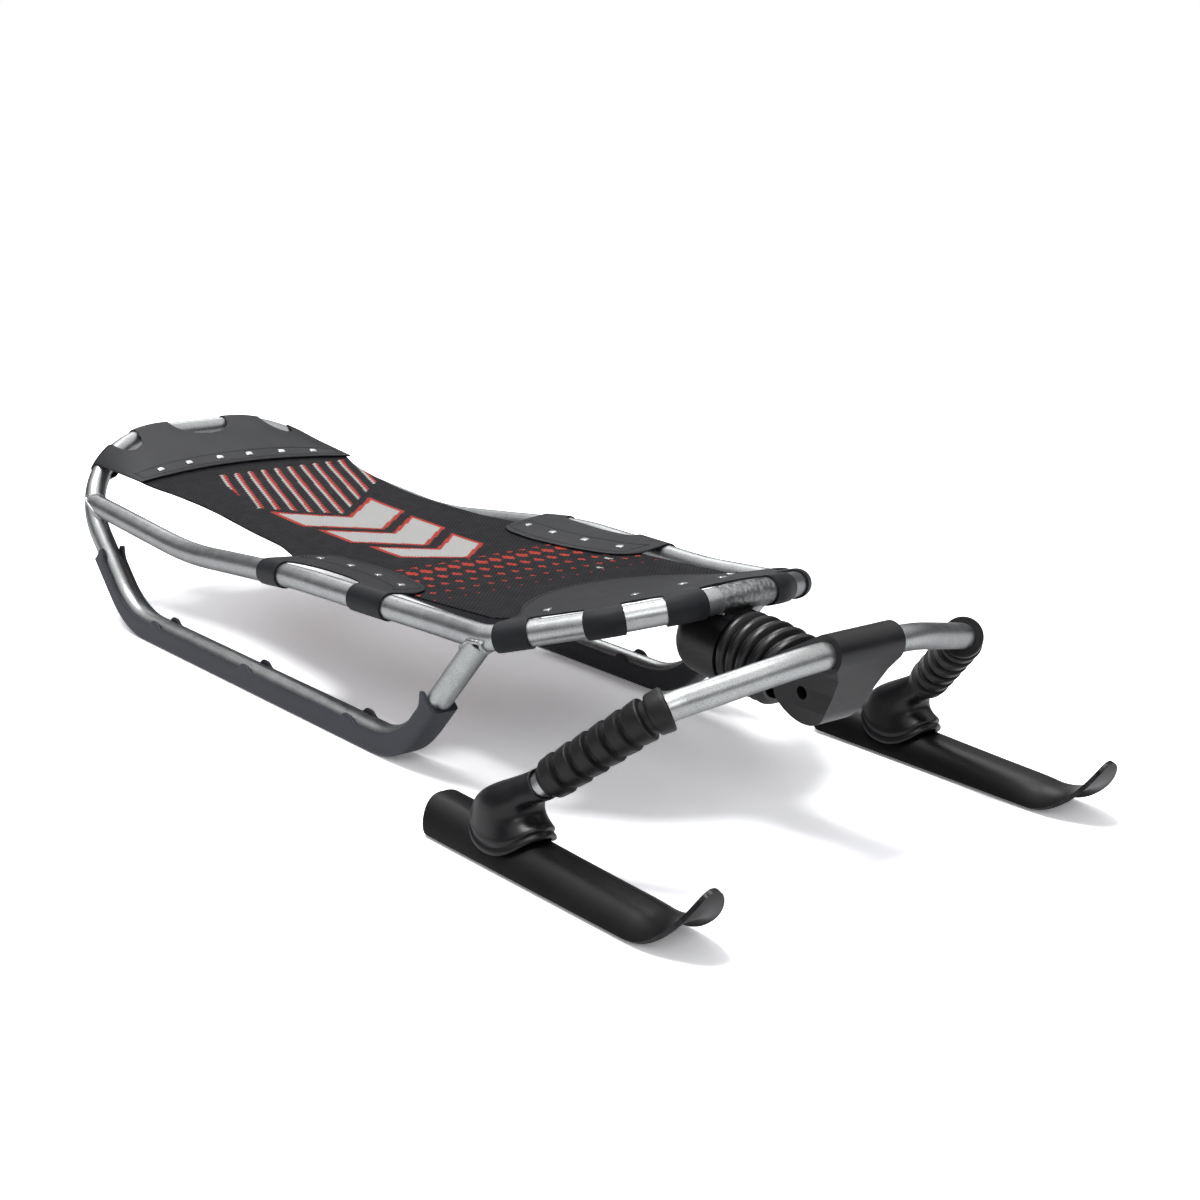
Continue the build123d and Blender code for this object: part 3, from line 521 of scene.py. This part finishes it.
class Patch:
    """How a patch lies: from its inner edge to a tube, touching it at the top, with at most sag between."""

    def __init__(self, line, measure, edge_at, sag=0.0):
        order = np.argsort(measure)
        self.measure, self.line = measure[order], line[order]
        self.heading = unit(np.gradient(line, axis=0))[order]
        self.edge_at, self.sag = edge_at, sag

    def lies(self, at):
        """For places along the tube: inner edge, tube centre, inward and upward directions, touching angle
        acos(strap radius / distance), touching point and the straight distance from it to the edge."""
        centre, run = (np.stack([np.interp(at, self.measure, rows[:, k]) for k in range(3)], -1)
                       for rows in (self.line, self.heading))
        run = unit(run)
        edge = self.edge_at(at)
        inward = edge - centre
        inward = inward - (inward * run).sum(-1, keepdims=True) * run
        away = np.linalg.norm(inward, axis=-1)
        inward = inward / away[..., None]
        up = np.cross(run, inward)
        up = up * np.sign(up[..., 2:])
        touch = np.arccos(STRAP_R / away)
        onto = centre + STRAP_R * (np.cos(touch)[..., None] * inward + np.sin(touch)[..., None] * up)
        return edge, centre, inward, up, touch, onto, np.linalg.norm(onto - edge, axis=-1)

    def hung(self, edge, onto, span, level):
        """Points at a share of the way from edge to tube, on the parabola 4 * sag * level * (1 - level)."""
        point = edge + (onto - edge) * level[..., None]
        point[..., 2] -= self.sag * np.minimum(span / FULL_SAG_SPAN, 1) ** 2 * 4 * level * (1 - level)
        return point

    def over(self, at, inset):
        """Points on the middle of the sheet at a distance in from the inner edge."""
        edge, _, _, _, _, onto, span = self.lies(at)
        return self.hung(edge, onto, span, inset / span)

    def facing(self, at, inset):
        """The sheet's upward normal at the same places."""
        along = self.over(at + 0.5, inset) - self.over(at - 0.5, inset)
        across = self.over(at, inset + 0.5) - self.over(at, inset - 0.5)
        normal = unit(np.cross(along, across))
        return normal * np.sign(normal[..., 2:])

    def grids(self, gaps, ends, window, tail):
        """One grid for each strap: rows along the tube, columns outwards from the inner edge, round the tube
        and back underneath for a share, tail, of the tangent's length. Gaps are (middle, half width) along
        the tube, and each opens like the end of an oval that reaches a distance, window, in from the tube."""
        body, arch = np.linspace(1, 0, 16)[:-1], np.linspace(0, math.pi / 2, 14)
        back = WRAP_COLUMNS + TAIL_COLUMNS
        opening = np.r_[np.zeros(body.size), np.sin(arch), np.ones(back)]
        stops = [(ends[0], 0.0)] + list(gaps) + [(ends[1], 0.0)]
        made = []
        for (low, low_half), (high, high_half) in zip(stops, stops[1:]):
            start, stop = low + low_half * opening, high - high_half * opening
            rows = max(9, int((high - low) / ROW_STEP))
            at = start + (stop - start) * np.linspace(0, 1, rows)[:, None]
            edge, centre, inward, up, touch, onto, span = self.lies(at)
            inward_away = STRAP_R / np.cos(touch)
            near = np.minimum(window, 0.8 * span)
            depth = np.zeros_like(span)
            depth[:, :body.size] = near[:, :body.size] + (span - near)[:, :body.size] * body
            depth[:, body.size:-back] = near[:, body.size:-back] * np.cos(arch)
            grid = self.hung(edge, onto, span, 1 - depth / span)
            wrap = slice(-back, -TAIL_COLUMNS)
            round_tube = 2 * math.pi - 2 * touch[:, wrap] - 0.06
            swing = touch[:, wrap] + np.linspace(0, 1, WRAP_COLUMNS + 1)[1:] * round_tube
            grid[:, wrap] = centre[:, wrap] + STRAP_R * (np.cos(swing)[..., None] * inward[:, wrap]
                                                         + np.sin(swing)[..., None] * up[:, wrap])
            last = swing[:, -1:, None]
            off = -np.sin(last) * inward[:, -1:] + np.cos(last) * up[:, -1:]
            reach = tail * np.sqrt((inward_away[:, -1:] ** 2) - STRAP_R ** 2)[..., None]
            run_back = np.linspace(0, 1, TAIL_COLUMNS + 1)[1:, None] * reach
            grid[:, -TAIL_COLUMNS:] = grid[:, -TAIL_COLUMNS - 1:-TAIL_COLUMNS] + off * run_back
            made.append(grid)
        return made


def lay_patch(name, grids, finish):
    """A vinyl patch from its strap grids, thickened, with its cut edges eased."""
    piece = lay_mesh(name, grids, finish)
    wall = piece.modifiers.new("wall", "SOLIDIFY")
    wall.thickness = VINYL_T * MM
    wall.offset = 0.0
    ease = piece.modifiers.new("eased_edges", "BEVEL")
    ease.width = 0.35 * MM
    ease.segments = 2
    ease.limit_method = "ANGLE"
    ease.angle_limit = math.radians(60)
    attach(piece, "frame")
    return piece


def on_mesh(x, y, lift):
    """Points over the mesh at plan positions, lifted off its upper face."""
    return np.stack(np.broadcast_arrays(x, y, seat_top(x) + lift), -1)


PATCH_LIFT = 1.6          # middle of a patch over the mesh at its inner edge
REAR_EDGE_X, REAR_EDGE_ARC, REAR_HALF = -525, 21, 148


def rear_edge(y):
    """The rear patch's inner edge: a shallow arc across the mesh."""
    return on_mesh(REAR_EDGE_X + REAR_EDGE_ARC * (y / REAR_HALF) ** 2, y, PATCH_LIFT)


rear_lie = Patch(hoop_line, hoop_line[:, 1], rear_edge)
rear_grids = rear_lie.grids([(-104.5, 17.5), (0.0, 40.0), (104.5, 17.5)], (-149, 149), window=38.0, tail=0.12)
rear_patch = lay_patch("rear_patch_vinyl", rear_grids, vinyl)
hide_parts("rear_patch")

nose_travel = np.r_[0, np.cumsum(np.linalg.norm(np.diff(nose_line, axis=0), axis=1))]
nose_travel -= nose_travel[-1] / 2


def nose_place(x):
    """Length along the bow from its middle to where it has this X."""
    left = nose_travel < 0
    return abs(np.interp(x, nose_line[left, 0], nose_travel[left]))


# straps as (outer, inner) lengths from the bow's middle, from the X where their sides cross it
STRAPS_X = ((264, 291), (336.5, 358.5), (377, 389.5))
STRAPS = [(nose_place(outer_x), nose_place(inner_x)) for outer_x, inner_x in STRAPS_X]
STRAP_END = STRAPS[0][0]
CRESCENT_X, CRESCENT_R, CRESCENT_TURN = 165, 158, math.radians(61)


def nose_edge(travel):
    """The front patch's rear edge: an arc across the mesh, its ends at the rails."""
    angle = travel / STRAP_END * CRESCENT_TURN
    x = CRESCENT_X + CRESCENT_R * (1 - np.cos(angle))
    return on_mesh(x, -CRESCENT_R * np.sin(angle), PATCH_LIFT + 0.2)


nose_gaps = [((outer[1] + inner[0]) / 2, (outer[1] - inner[0]) / 2)
             for outer, inner in zip(STRAPS, STRAPS[1:])]
nose_gaps = [(-at, half) for at, half in nose_gaps] + [(0.0, STRAPS[-1][1])] + nose_gaps[::-1]
nose_lie = Patch(nose_line, nose_travel, nose_edge, sag=3.0)
front_grids = nose_lie.grids(nose_gaps, (-STRAP_END, STRAP_END), window=14.0, tail=0.4)
front_patch = lay_patch("front_patch_vinyl", front_grids, vinyl)
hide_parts("front_patch")

# place along the rail, then X and Y of the inner edge across from it
SIDE_EDGE = np.array([(-137, -141, 148), (-128, -127, 119), (-110, -110, 112), (-60, -58, 106), (0, -4, 108),
                      (50, 46, 117), (68, 63, 123), (80, 77, 133), (88, 83, 150)], float)


def side_edge(x):
    """A side patch's inner edge, cut a little round: its X and Y for a place along the rail."""
    table_x, table_y = (rounded_through(x, SIDE_EDGE[:, [0, k]], 9.0) for k in (1, 2))
    return on_mesh(table_x, table_y, PATCH_LIFT)


side_lie = Patch(rail_line, rail_line[:, 0], side_edge)
side_grids = side_lie.grids([(-31.5, 65.5)], (-137, 88), window=13.0, tail=0.35)
for name, flip in SIDES:
    patch = lay_patch("side_patch_vinyl_" + name, [grid * flip for grid in side_grids], vinyl)
    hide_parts("side_patch_" + name)

# ---- Stitching -----------------------------------------------------------------------------
# Bonded black thread. The rear and side patches have two rows along the inner edge, closed across
# at the ends, to stiffen the rivet line, and the front patch has one row.
thread = satin("sewing_thread", (linear(14, 14, 15), linear(24, 24, 26)), (0.5, 0.7), 2500.0, 0.0001,
               gloss=0.3)
STITCH, STITCH_PITCH, THREAD_R = 2.9, 3.9, 0.38


def stitches(points, normals):
    """A row of short rounded bars of thread along a line that lies on a sheet's middle."""
    line = evenly(points, STITCH_PITCH)
    share_along = np.linspace(0, 1, len(line))
    share_given = np.linspace(0, 1, len(normals))
    facing = unit(np.stack([np.interp(share_along, share_given, normals[:, k]) for k in range(3)], -1))
    heading = unit(np.gradient(line, axis=0))
    side = np.cross(facing, heading)
    stations = np.array([-0.5, -0.42, 0, 0.42, 0.5]) * STITCH
    radius = np.array([0, 0.8, 1, 0.8, 0]) * THREAD_R
    turn = np.linspace(0, 2 * math.pi, 7)
    base = line + facing * (VINYL_T / 2 + 0.12)
    bars = (base[:, None, None] + stations[:, None, None] * heading[:, None, None]
            + radius[:, None, None] * (np.cos(turn)[:, None] * side[:, None, None]
                                       + np.sin(turn)[:, None] * facing[:, None, None]))
    return list(bars)


def sewn(lie, at, inset):
    """Stitches on a patch through places along its tube, each an inset in from the inner edge."""
    return stitches(lie.over(at, inset), lie.facing(at, inset))


def stitched_band(lie, low, high, near, far):
    """Two rows and two closing ends of stitches on a patch, near and far in from its inner edge."""
    rows = []
    span = np.linspace(low, high, 60)
    for inset in (near, far):
        rows += sewn(lie, span, np.full(60, inset))
    for end in (low, high):
        rows += sewn(lie, np.full(8, float(end)), np.linspace(near, far, 8))
    return rows


def lay_trim(name, grids, finish):
    """Small trim fixed to a patch."""
    piece = lay_mesh(name, grids, finish)
    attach(piece, "frame")
    return piece


rear_thread = stitched_band(rear_lie, -140, 140, 7.0, 27.0)
front_thread = sewn(nose_lie, np.linspace(-STRAP_END * 0.96, STRAP_END * 0.96, 90), np.full(90, 6.0))
side_thread = stitched_band(side_lie, -124, 74, 7.0, 39.0)
lay_trim("rear_stitching", rear_thread, thread)
lay_trim("front_stitching", front_thread, thread)
lay_trim("side_stitching", side_thread + [bar * FLIP for bar in side_thread], thread)

# ---- Rivets --------------------------------------------------------------------------------
# Flat-headed bright steel rivets with square washers turned over at the corners, through
# vinyl, mesh and strap.
RIVET_L, RIVET_W, RIVET_T = 9.6, 8.2, 1.2
bright = satin("rivet_steel", (linear(190, 192, 195), linear(222, 224, 226)), (0.2, 0.35), 900.0, 0.0002,
               metallic=0.8)


def rivet(point, normal, heading):
    """A rounded-square cap: rings of (sign(cos) |cos|^0.55, sign(sin) |sin|^0.55), lower towards the rim."""
    heading = unit(heading - (heading @ normal) * normal)
    side = np.cross(normal, heading)
    ring = np.array([0.0, 0.45, 0.8, 0.93, 1.0, 1.0, 0.0])[:, None]
    height = np.array([1.0, 1.0, 0.92, 0.7, 0.3, 0.0, 0.0])[:, None] * RIVET_T
    turn = np.linspace(0, 2 * math.pi, 25)
    across, along = (np.sign(f) * np.abs(f) ** 0.55 for f in (np.cos(turn), np.sin(turn)))
    top = point + normal * (VINYL_T / 2)
    return (top + (ring * across)[..., None] * heading * RIVET_L / 2
            + (ring * along)[..., None] * side * RIVET_W / 2 + height[..., None] * normal)


def rivets_on(lie, places, inset):
    """Rivets at places along a patch, with one inset from its inner edge for all or one for each."""
    at = np.array(places, float)
    inset = np.broadcast_to(inset, at.shape).astype(float)
    points, normals = lie.over(at, inset), lie.facing(at, inset)
    headings = lie.over(at + 1, inset) - lie.over(at - 1, inset)
    return [rivet(*row) for row in zip(points, normals, headings)]


rear_rivets = rivets_on(rear_lie, [-108.5, -66, -21, 21, 66, 108.5], 17.0)
side_rivets = rivets_on(side_lie, [-109, -58, 1, 54], [28.0, 29.0, 29.0, 26.0])
FRONT_RIVETS = [(258.5, -117), (313, -55), (317, 0), (313, 55), (258.5, 117)]      # X and Y


def nearest_rivet(x, y):
    """A rivet where the front patch passes a plan position: the nearest point of a fine net over it."""
    at, level = np.meshgrid(np.linspace(-STRAP_END, STRAP_END, 400), np.linspace(0.02, 0.98, 120))
    inset = level * nose_lie.lies(at)[-1]
    net = nose_lie.over(at, inset)
    row, column = np.unravel_index(np.hypot(net[..., 0] - x, net[..., 1] - y).argmin(), at.shape)
    return rivets_on(nose_lie, [at[row, column]], inset[row, column])[0]


front_rivets = [nearest_rivet(*place) for place in FRONT_RIVETS]
lay_trim("rear_rivets", rear_rivets, bright)
lay_trim("side_rivets", side_rivets + [cap * FLIP for cap in side_rivets], bright)
lay_trim("front_rivets", front_rivets, bright)

# ---- Pivot housing and bellows -------------------------------------------------------------
# Moulded rubber: a domed cup over the steering pivot and a five-ribbed bellows from it to the
# steering block, which keep snow off the bolt.
rubber = satin("bellows_rubber", (linear(13, 13, 15), linear(22, 22, 24)), (0.28, 0.38), 700.0, 0.0003,
               drift=22.0, gloss=0.5)
dress(["pivot_housing"], rubber)
# one rib from groove to groove: share of the pitch, height of the wall over the groove
RIB = np.array([(0, 0), (0.06, 0.1), (0.18, 3.4), (0.34, 5.6), (0.55, 6.2), (0.74, 5.4), (0.88, 2.4),
                (0.96, 0.2), (1, 0)])
RIB_HEIGHT = RIB[:, 1].max()
BELLOWS_RIBS, BELLOWS_WALL = 5, 2.6
TOP_LINE = np.array([(403.0, 194.5), (485, 186.5)])        # X and Z of the ribs' crests, above and below
UNDER_LINE = np.array([(403.0, 117.5), (452, 115.0)])
reach = np.linspace(0, 1, 240)[:, None]
crest_top, crest_under = (line[0] + (line[1] - line[0]) * reach for line in (TOP_LINE, UNDER_LINE))
crest_top = crest_top + np.array([0, 2.5]) * np.sin(math.pi * reach)
middle = np.insert((crest_top + crest_under) / 2, 1, 0, axis=1)
half = np.insert((crest_top - crest_under) / 2, 1, 0, axis=1)
crest_r = np.linalg.norm(half, axis=1)
upright = unit(half)[:, None]
ribbed = rounded_through((reach[:, 0] * BELLOWS_RIBS) % 1.0, RIB, 0.05)
turn = np.linspace(0, 2 * math.pi, 97)[:, None]


def bellows_wall(inset):
    """Rings about the bent middle line, their radius following the ribs less an inset."""
    radius = (crest_r - RIB_HEIGHT + ribbed - inset)[:, None, None]
    return middle[:, None] + radius * (np.cos(turn) * np.array([0, 1, 0]) + np.sin(turn) * upright)


outside, inside = bellows_wall(0), bellows_wall(BELLOWS_WALL)[::-1]
bellows = lay_mesh("bellows_skin", [outside, np.stack([outside[-1], inside[0]]), inside,
                                    np.stack([inside[-1], outside[0]])], rubber)
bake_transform(bellows)
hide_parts("pivot_bellows")

# ---- Steering block ------------------------------------------------------------------------
# Two black mouldings clamped round the bar and bonded down the middle, with a cross hole for
# the tow rope.
block_plastic = satin("block_plastic", (linear(15, 15, 17), linear(25, 25, 28)), (0.30, 0.42), 800.0, 0.0003,
                      drift=20.0, gloss=0.5)
steel = satin("plated_steel", (linear(150, 152, 155), linear(190, 192, 195)), (0.25, 0.4), 500.0, 0.0003,
              metallic=1.0)
dress(["steering_block_left", "steering_block_right", "ski_mount_left", "ski_mount_right"], block_plastic)
dress(["pivot_bracket"], tube_coat)
dress(["kingpin", "steering_neck", "ankle_left", "ankle_right", "ski_pin_left", "ski_pin_right"], steel)

# ---- Grips ---------------------------------------------------------------------------------
# Rubber sleeves pushed on to the bar's arms: seven collars, each with a groove below it and a
# sloping crown, of which the top one runs out in a plain rim.
BAR_ANKLE = np.array([408.0, 246, 73.5])
BAR_SHOULDER = np.array([507.0, 194, 161.5])
BAR_SIDE = np.array([547.5, 70, 192])
grip_rubber = satin("grip_rubber", (linear(13, 13, 14), linear(22, 22, 23)), (0.40, 0.5), 900.0, 0.0003,
                    drift=30.0, gloss=0.4)
grip_foot, past_shoulder = share(BAR_ANKLE, BAR_SHOULDER, 0.11), share(BAR_SHOULDER, BAR_SIDE, 0.2)
grip_line = bent_line([grip_foot, BAR_SHOULDER, past_shoulder], [55], 0.5)
grip_line = grip_line[:int(len(grip_line) * 0.89)]
COLLARS, TOP_COLLAR_R = 7, 18.8
# one groove and collar, going up the arm: share of the pitch, radius
COLLAR = np.array([(0, 15.4), (0.22, 15.4), (0.26, 18.2), (0.33, 18.9), (0.88, 19.9), (0.96, 19.4),
                   (1.0, 15.4)])
grip_at = np.linspace(0, COLLARS, len(grip_line))
grip_r = rounded_through(grip_at % 1.0, COLLAR, 0.03)
grip_r = np.where(grip_at > COLLARS - 0.05, TOP_COLLAR_R, grip_r)
skin = carried(grip_line, ring_section(grip_r, 56), UP)
bore = carried(grip_line, ring_section(np.full(len(grip_line), TUBE_R + 0.2), 56), UP)[::-1]
grip_grids = [skin, np.stack([skin[-1], bore[0]]), bore, np.stack([bore[-1], skin[0]])]
for name, flip in SIDES:
    grip = lay_mesh("grip_sleeve_" + name, [grid * flip for grid in grip_grids], grip_rubber)
    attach(grip, "steering")
    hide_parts("grip_" + name)

# ---- Boots ---------------------------------------------------------------------------------
# Soft rubber boots over the ankles: a neck gripping the bar's end, a swollen body, and a lip
# that drapes over the arch of the ski.
boot_rubber = satin("boot_rubber", (linear(13, 13, 15), linear(19, 19, 22)), (0.33, 0.39), 600.0, 0.0002,
                    drift=26.0, gloss=0.42)
# rings from the lip to the neck: back X and Z, front X and Z, half width, Y, droop at the sides
BOOT = np.array([
    (343, 37, 419.5, 33, 29, 249, 20), (339, 37, 424, 33, 32, 249, 20), (338, 39.3, 425, 35.5, 32.6, 249, 20),
    (338.3, 41.8, 424.5, 38, 32.2, 249, 20), (340.5, 43.1, 422, 39.2, 30.6, 249, 19.5),
    (340.7, 44.3, 421.8, 40.4, 30.5, 249, 19), (338.7, 45.6, 422.8, 42, 31.8, 249, 18.5),
    (339, 47.6, 422, 44.2, 31.4, 249, 17.5), (340.8, 48.6, 418, 45.8, 30.6, 249, 16),
    (342, 51, 411.5, 48.5, 30, 249, 11.5), (345.5, 56, 408.5, 51.5, 29.6, 249, 7),
    (352.5, 62, 407.5, 55, 28.8, 248.8, 3.5), (362.5, 68.5, 408, 58.5, 26.5, 248.5, 1.5),
    (375.5, 75, 410, 61, 23.2, 248, 0), (388.5, 81.5, 413.5, 63, 19.6, 246.8, 0),
    (399.5, 87.5, 418.5, 65.3, 16.8, 245.2, 0), (404.5, 90.8, 423.6, 67.3, 15.6, 242.8, 0),
    (406.5, 92.8, 425.5, 69.3, 15.2, 241.8, 0), (407.3, 91.0, 424.2, 71.0, 13.0, 242, 0)], float)
steps = np.arange(len(BOOT))
fine = np.linspace(0, len(BOOT) - 1, 150)
smooth = np.stack([rounded_through(fine, np.stack([steps, BOOT[:, k]], -1), 1.1) for k in range(7)], -1)
smooth[0], smooth[-1] = BOOT[0], BOOT[-1]
back_x, back_z, front_x, front_z, half_width, centre_y, droop = smooth.T[..., None]
around = np.linspace(-math.pi, math.pi, 97)
forwards, sideways = (np.sign(f) * np.abs(f) ** 0.84 for f in (np.cos(around), np.sin(around)))
# a small lug stands out at the front of the lip
lug = 1 + 0.05 * np.exp(-(around / 0.22) ** 2) * (fine[:, None] < 8)
boot_x = (back_x + front_x) / 2 + (front_x - back_x) / 2 * forwards * lug
boot_y = centre_y + half_width * sideways
boot_z = (back_z + front_z) / 2 + (front_z - back_z) / 2 * forwards * lug - droop * np.abs(sideways) ** 2.4
# soft dents where the rubber folds over the ankle
dent = 1.3 * np.exp(-((fine[:, None] - 10.6) / 1.3) ** 2 - ((np.abs(around) - 0.9) / 0.35) ** 2)
boot_y = boot_y - dent * np.sign(sideways)
boot_grid = np.stack([boot_x, boot_y, boot_z], -1)
for name, flip in SIDES:
    boot = lay_mesh("boot_skin_" + name, [boot_grid * flip], boot_rubber)
    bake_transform(boot)
    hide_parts("boot_" + name)

# ---- Skis ----------------------------------------------------------------------------------
# Injection-moulded blades, arched across for stiffness, with a rounded tail and a spoon-shaped
# tip turned up at the front.
ski_plastic = satin("ski_plastic", (linear(11, 11, 12), linear(16, 16, 18)), (0.36, 0.44), 900.0, 0.0002,
                    drift=16.0, gloss=0.38)
SKI_T, SKI_Y, SKI_HALF = 5.0, 249.0, 32.5
SKI_TAIL, SKI_BEND, SKI_CURL_R, SKI_CURL = 276.0, 570.0, 75.0, math.radians(80)
SKI_TAIL_ROUND, SKI_TIP_ROUND, SKI_TAIL_POWER = 20, 104, 2.6
# height of the crest along the ski, measured from the tail
SKI_CREST = np.array([(0, 33.5), (54, 32.5), (164, 28.0), (234, 25.5), (290, 24), (330, 18.5), (362, 10),
                      (400, 4.0)])
flat_length = SKI_BEND - SKI_TAIL
ski_length = flat_length + SKI_CURL_R * SKI_CURL
ski_s = (0.5 - 0.5 * np.cos(np.linspace(0, math.pi, 140)))[:, None] * ski_length
curl = np.maximum(ski_s - flat_length, 0) / SKI_CURL_R
ski_path_x = SKI_TAIL + np.minimum(ski_s, flat_length) + SKI_CURL_R * np.sin(curl)
ski_path_z = SKI_CURL_R * (1 - np.cos(curl))
tail_share = np.clip(1 - ski_s / SKI_TAIL_ROUND, 0, 1)
tip_share = np.clip((ski_s - (ski_length - SKI_TIP_ROUND)) / SKI_TIP_ROUND, 0, 1)
middle_half = SKI_HALF - SKI_T / 2
tail_round = (1 - tail_share ** SKI_TAIL_POWER) ** (1 / SKI_TAIL_POWER)
ski_half = middle_half * tail_round * (1 - tip_share ** 2.0) ** (1 / 2.0)
across = np.sin(np.linspace(-math.pi / 2, math.pi / 2, 57))[None]
ski_y = ski_half * across
crest = rounded_through(ski_s, SKI_CREST, 30.0)
rise = (crest - SKI_T) * (1 - np.abs(ski_y / middle_half) ** 3) + SKI_T / 2
ski_grid = np.stack([ski_path_x - rise * np.sin(curl), SKI_Y + ski_y, ski_path_z + rise * np.cos(curl)], -1)
for name, flip in SIDES:
    blade = lay_mesh("ski_blade_" + name, [ski_grid * flip], ski_plastic)
    wall = blade.modifiers.new("wall", "SOLIDIFY")
    wall.thickness = (SKI_T - 0.4) * MM
    wall.offset = 0.0
    ease = blade.modifiers.new("eased_edges", "BEVEL")
    ease.width = 1.2 * MM
    ease.segments = 3
    ease.limit_method = "ANGLE"
    ease.angle_limit = math.radians(50)
    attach(blade, f"ski_{name}_body")
    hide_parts("ski_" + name)

# ---- Studio --------------------------------------------------------------------------------
# A pale floor, soft light from above and both sides, and the camera.
scene = bpy.context.scene


def seen_rays(tree):
    """The light path's outputs, and one that is 1 for rays from the camera, a reflection or through glass."""
    rays = add_node(tree, "LightPath").outputs
    seen = add_node(tree, "Math", {0: rays["Is Camera Ray"], 1: rays["Is Glossy Ray"]}, operation="MAXIMUM")
    seen = add_node(tree, "Math", {0: seen.outputs[0], 1: rays["Is Transmission Ray"]}, operation="MAXIMUM")
    return rays, seen.outputs[0]


paper = bpy.data.materials.new("floor_paper")
paper.use_nodes = True
tree = paper.node_tree
shader = tree.nodes["Principled BSDF"]
shader.inputs["Base Color"].default_value = (0.78, 0.785, 0.8, 1)
shader.inputs["Roughness"].default_value = 0.9
shader.inputs["Emission Color"].default_value = (1, 1, 1, 1)
rays, seen = seen_rays(tree)
lift = add_node(tree, "Math", {0: seen, 1: 0.12}, operation="MULTIPLY")
tree.links.new(lift.outputs[0], shader.inputs["Emission Strength"])
# the camera alone sees a second layer, which lightens the floor as a long exposure does
second = add_node(tree, "BsdfDiffuse", {"Color": (1.0, 1.0, 1.02, 1)})
clear = add_node(tree, "BsdfDiffuse", {"Color": (0, 0, 0, 1)})
layer = add_node(tree, "MixShader", {0: rays["Is Camera Ray"], 1: clear.outputs["BSDF"],
                                     2: second.outputs["BSDF"]})
both = add_node(tree, "AddShader", {0: shader.outputs["BSDF"], 1: layer.outputs["Shader"]})
tree.links.new(both.outputs["Shader"], tree.nodes["Material Output"].inputs["Surface"])
floor_mesh = bpy.data.meshes.new("floor")
floor_mesh.from_pydata([(-40, -40, 0), (40, -40, 0), (40, 40, 0), (-40, 40, 0)], [], [(0, 1, 2, 3)])
floor_mesh.materials.append(paper)
floor = bpy.data.objects.new("floor", floor_mesh)
scene.collection.objects.link(floor)

world = bpy.data.worlds.new("studio")
world.use_nodes = True
scene.world = world
tree = world.node_tree
backdrop = tree.nodes["Background"]
rays, seen = seen_rays(tree)
level = add_node(tree, "MapRange", {"Value": seen, "To Min": 0.42, "To Max": 1.0})
tree.links.new(level.outputs["Result"], backdrop.inputs["Strength"])
# reflections see a dark floor and a bright ceiling, the camera sees white, and other rays an even grey
looking = add_node(tree, "TexCoord").outputs["Generated"]
height = add_node(tree, "SeparateXYZ", {"Vector": looking}).outputs["Z"]
studio = ramp(tree, height, [(0.0, (0.10, 0.10, 0.105, 1)), (1.0, (1, 1, 1, 1)),
                             (0.38, (0.12, 0.12, 0.125, 1)), (0.62, (0.8, 0.8, 0.81, 1))])
around_it = add_node(tree, "MixRGB", {"Fac": rays["Is Glossy Ray"], "Color1": (0.82, 0.82, 0.84, 1),
                                      "Color2": studio}).outputs["Color"]
backing = add_node(tree, "MixRGB", {"Fac": rays["Is Camera Ray"], "Color1": around_it,
                                    "Color2": (1, 1, 1, 1)}).outputs["Color"]
tree.links.new(backing, backdrop.inputs["Color"])


def sun(name, strength, spread, direction):
    """A broad soft lamp far off, shining along a direction."""
    data = bpy.data.lights.new(name, "SUN")
    data.energy = strength
    data.angle = math.radians(spread)
    lamp = bpy.data.objects.new(name, data)
    scene.collection.objects.link(lamp)
    lamp.rotation_mode = "QUATERNION"
    lamp.rotation_quaternion = Vector(direction).to_track_quat("-Z", "Y")


sun("overhead", 2.0, 20, (0.2, 0.16, -1.0))
sun("side", 0.5, 24, (-0.9, 0.5, -0.75))
sun("back", 0.4, 24, (0.9, -0.5, -0.8))

CAMERA_AT = (1.717, -1.258, 0.697)
CAMERA_RIGHT = (0.63214, 0.77456, 0.02092)
CAMERA_UP = (-0.21726, 0.15126, 0.96430)
CAMERA_BACK = (0.74376, -0.61413, 0.26390)
camera_data = bpy.data.cameras.new("camera")
camera_data.lens = 61.16
camera_data.sensor_width = 36.0
camera = bpy.data.objects.new("camera", camera_data)
aim = Matrix((CAMERA_RIGHT, CAMERA_UP, CAMERA_BACK)).transposed().to_4x4()
camera.matrix_world = Matrix.Translation(CAMERA_AT) @ aim
scene.collection.objects.link(camera)
scene.camera = camera
scene.view_settings.view_transform = "Standard"
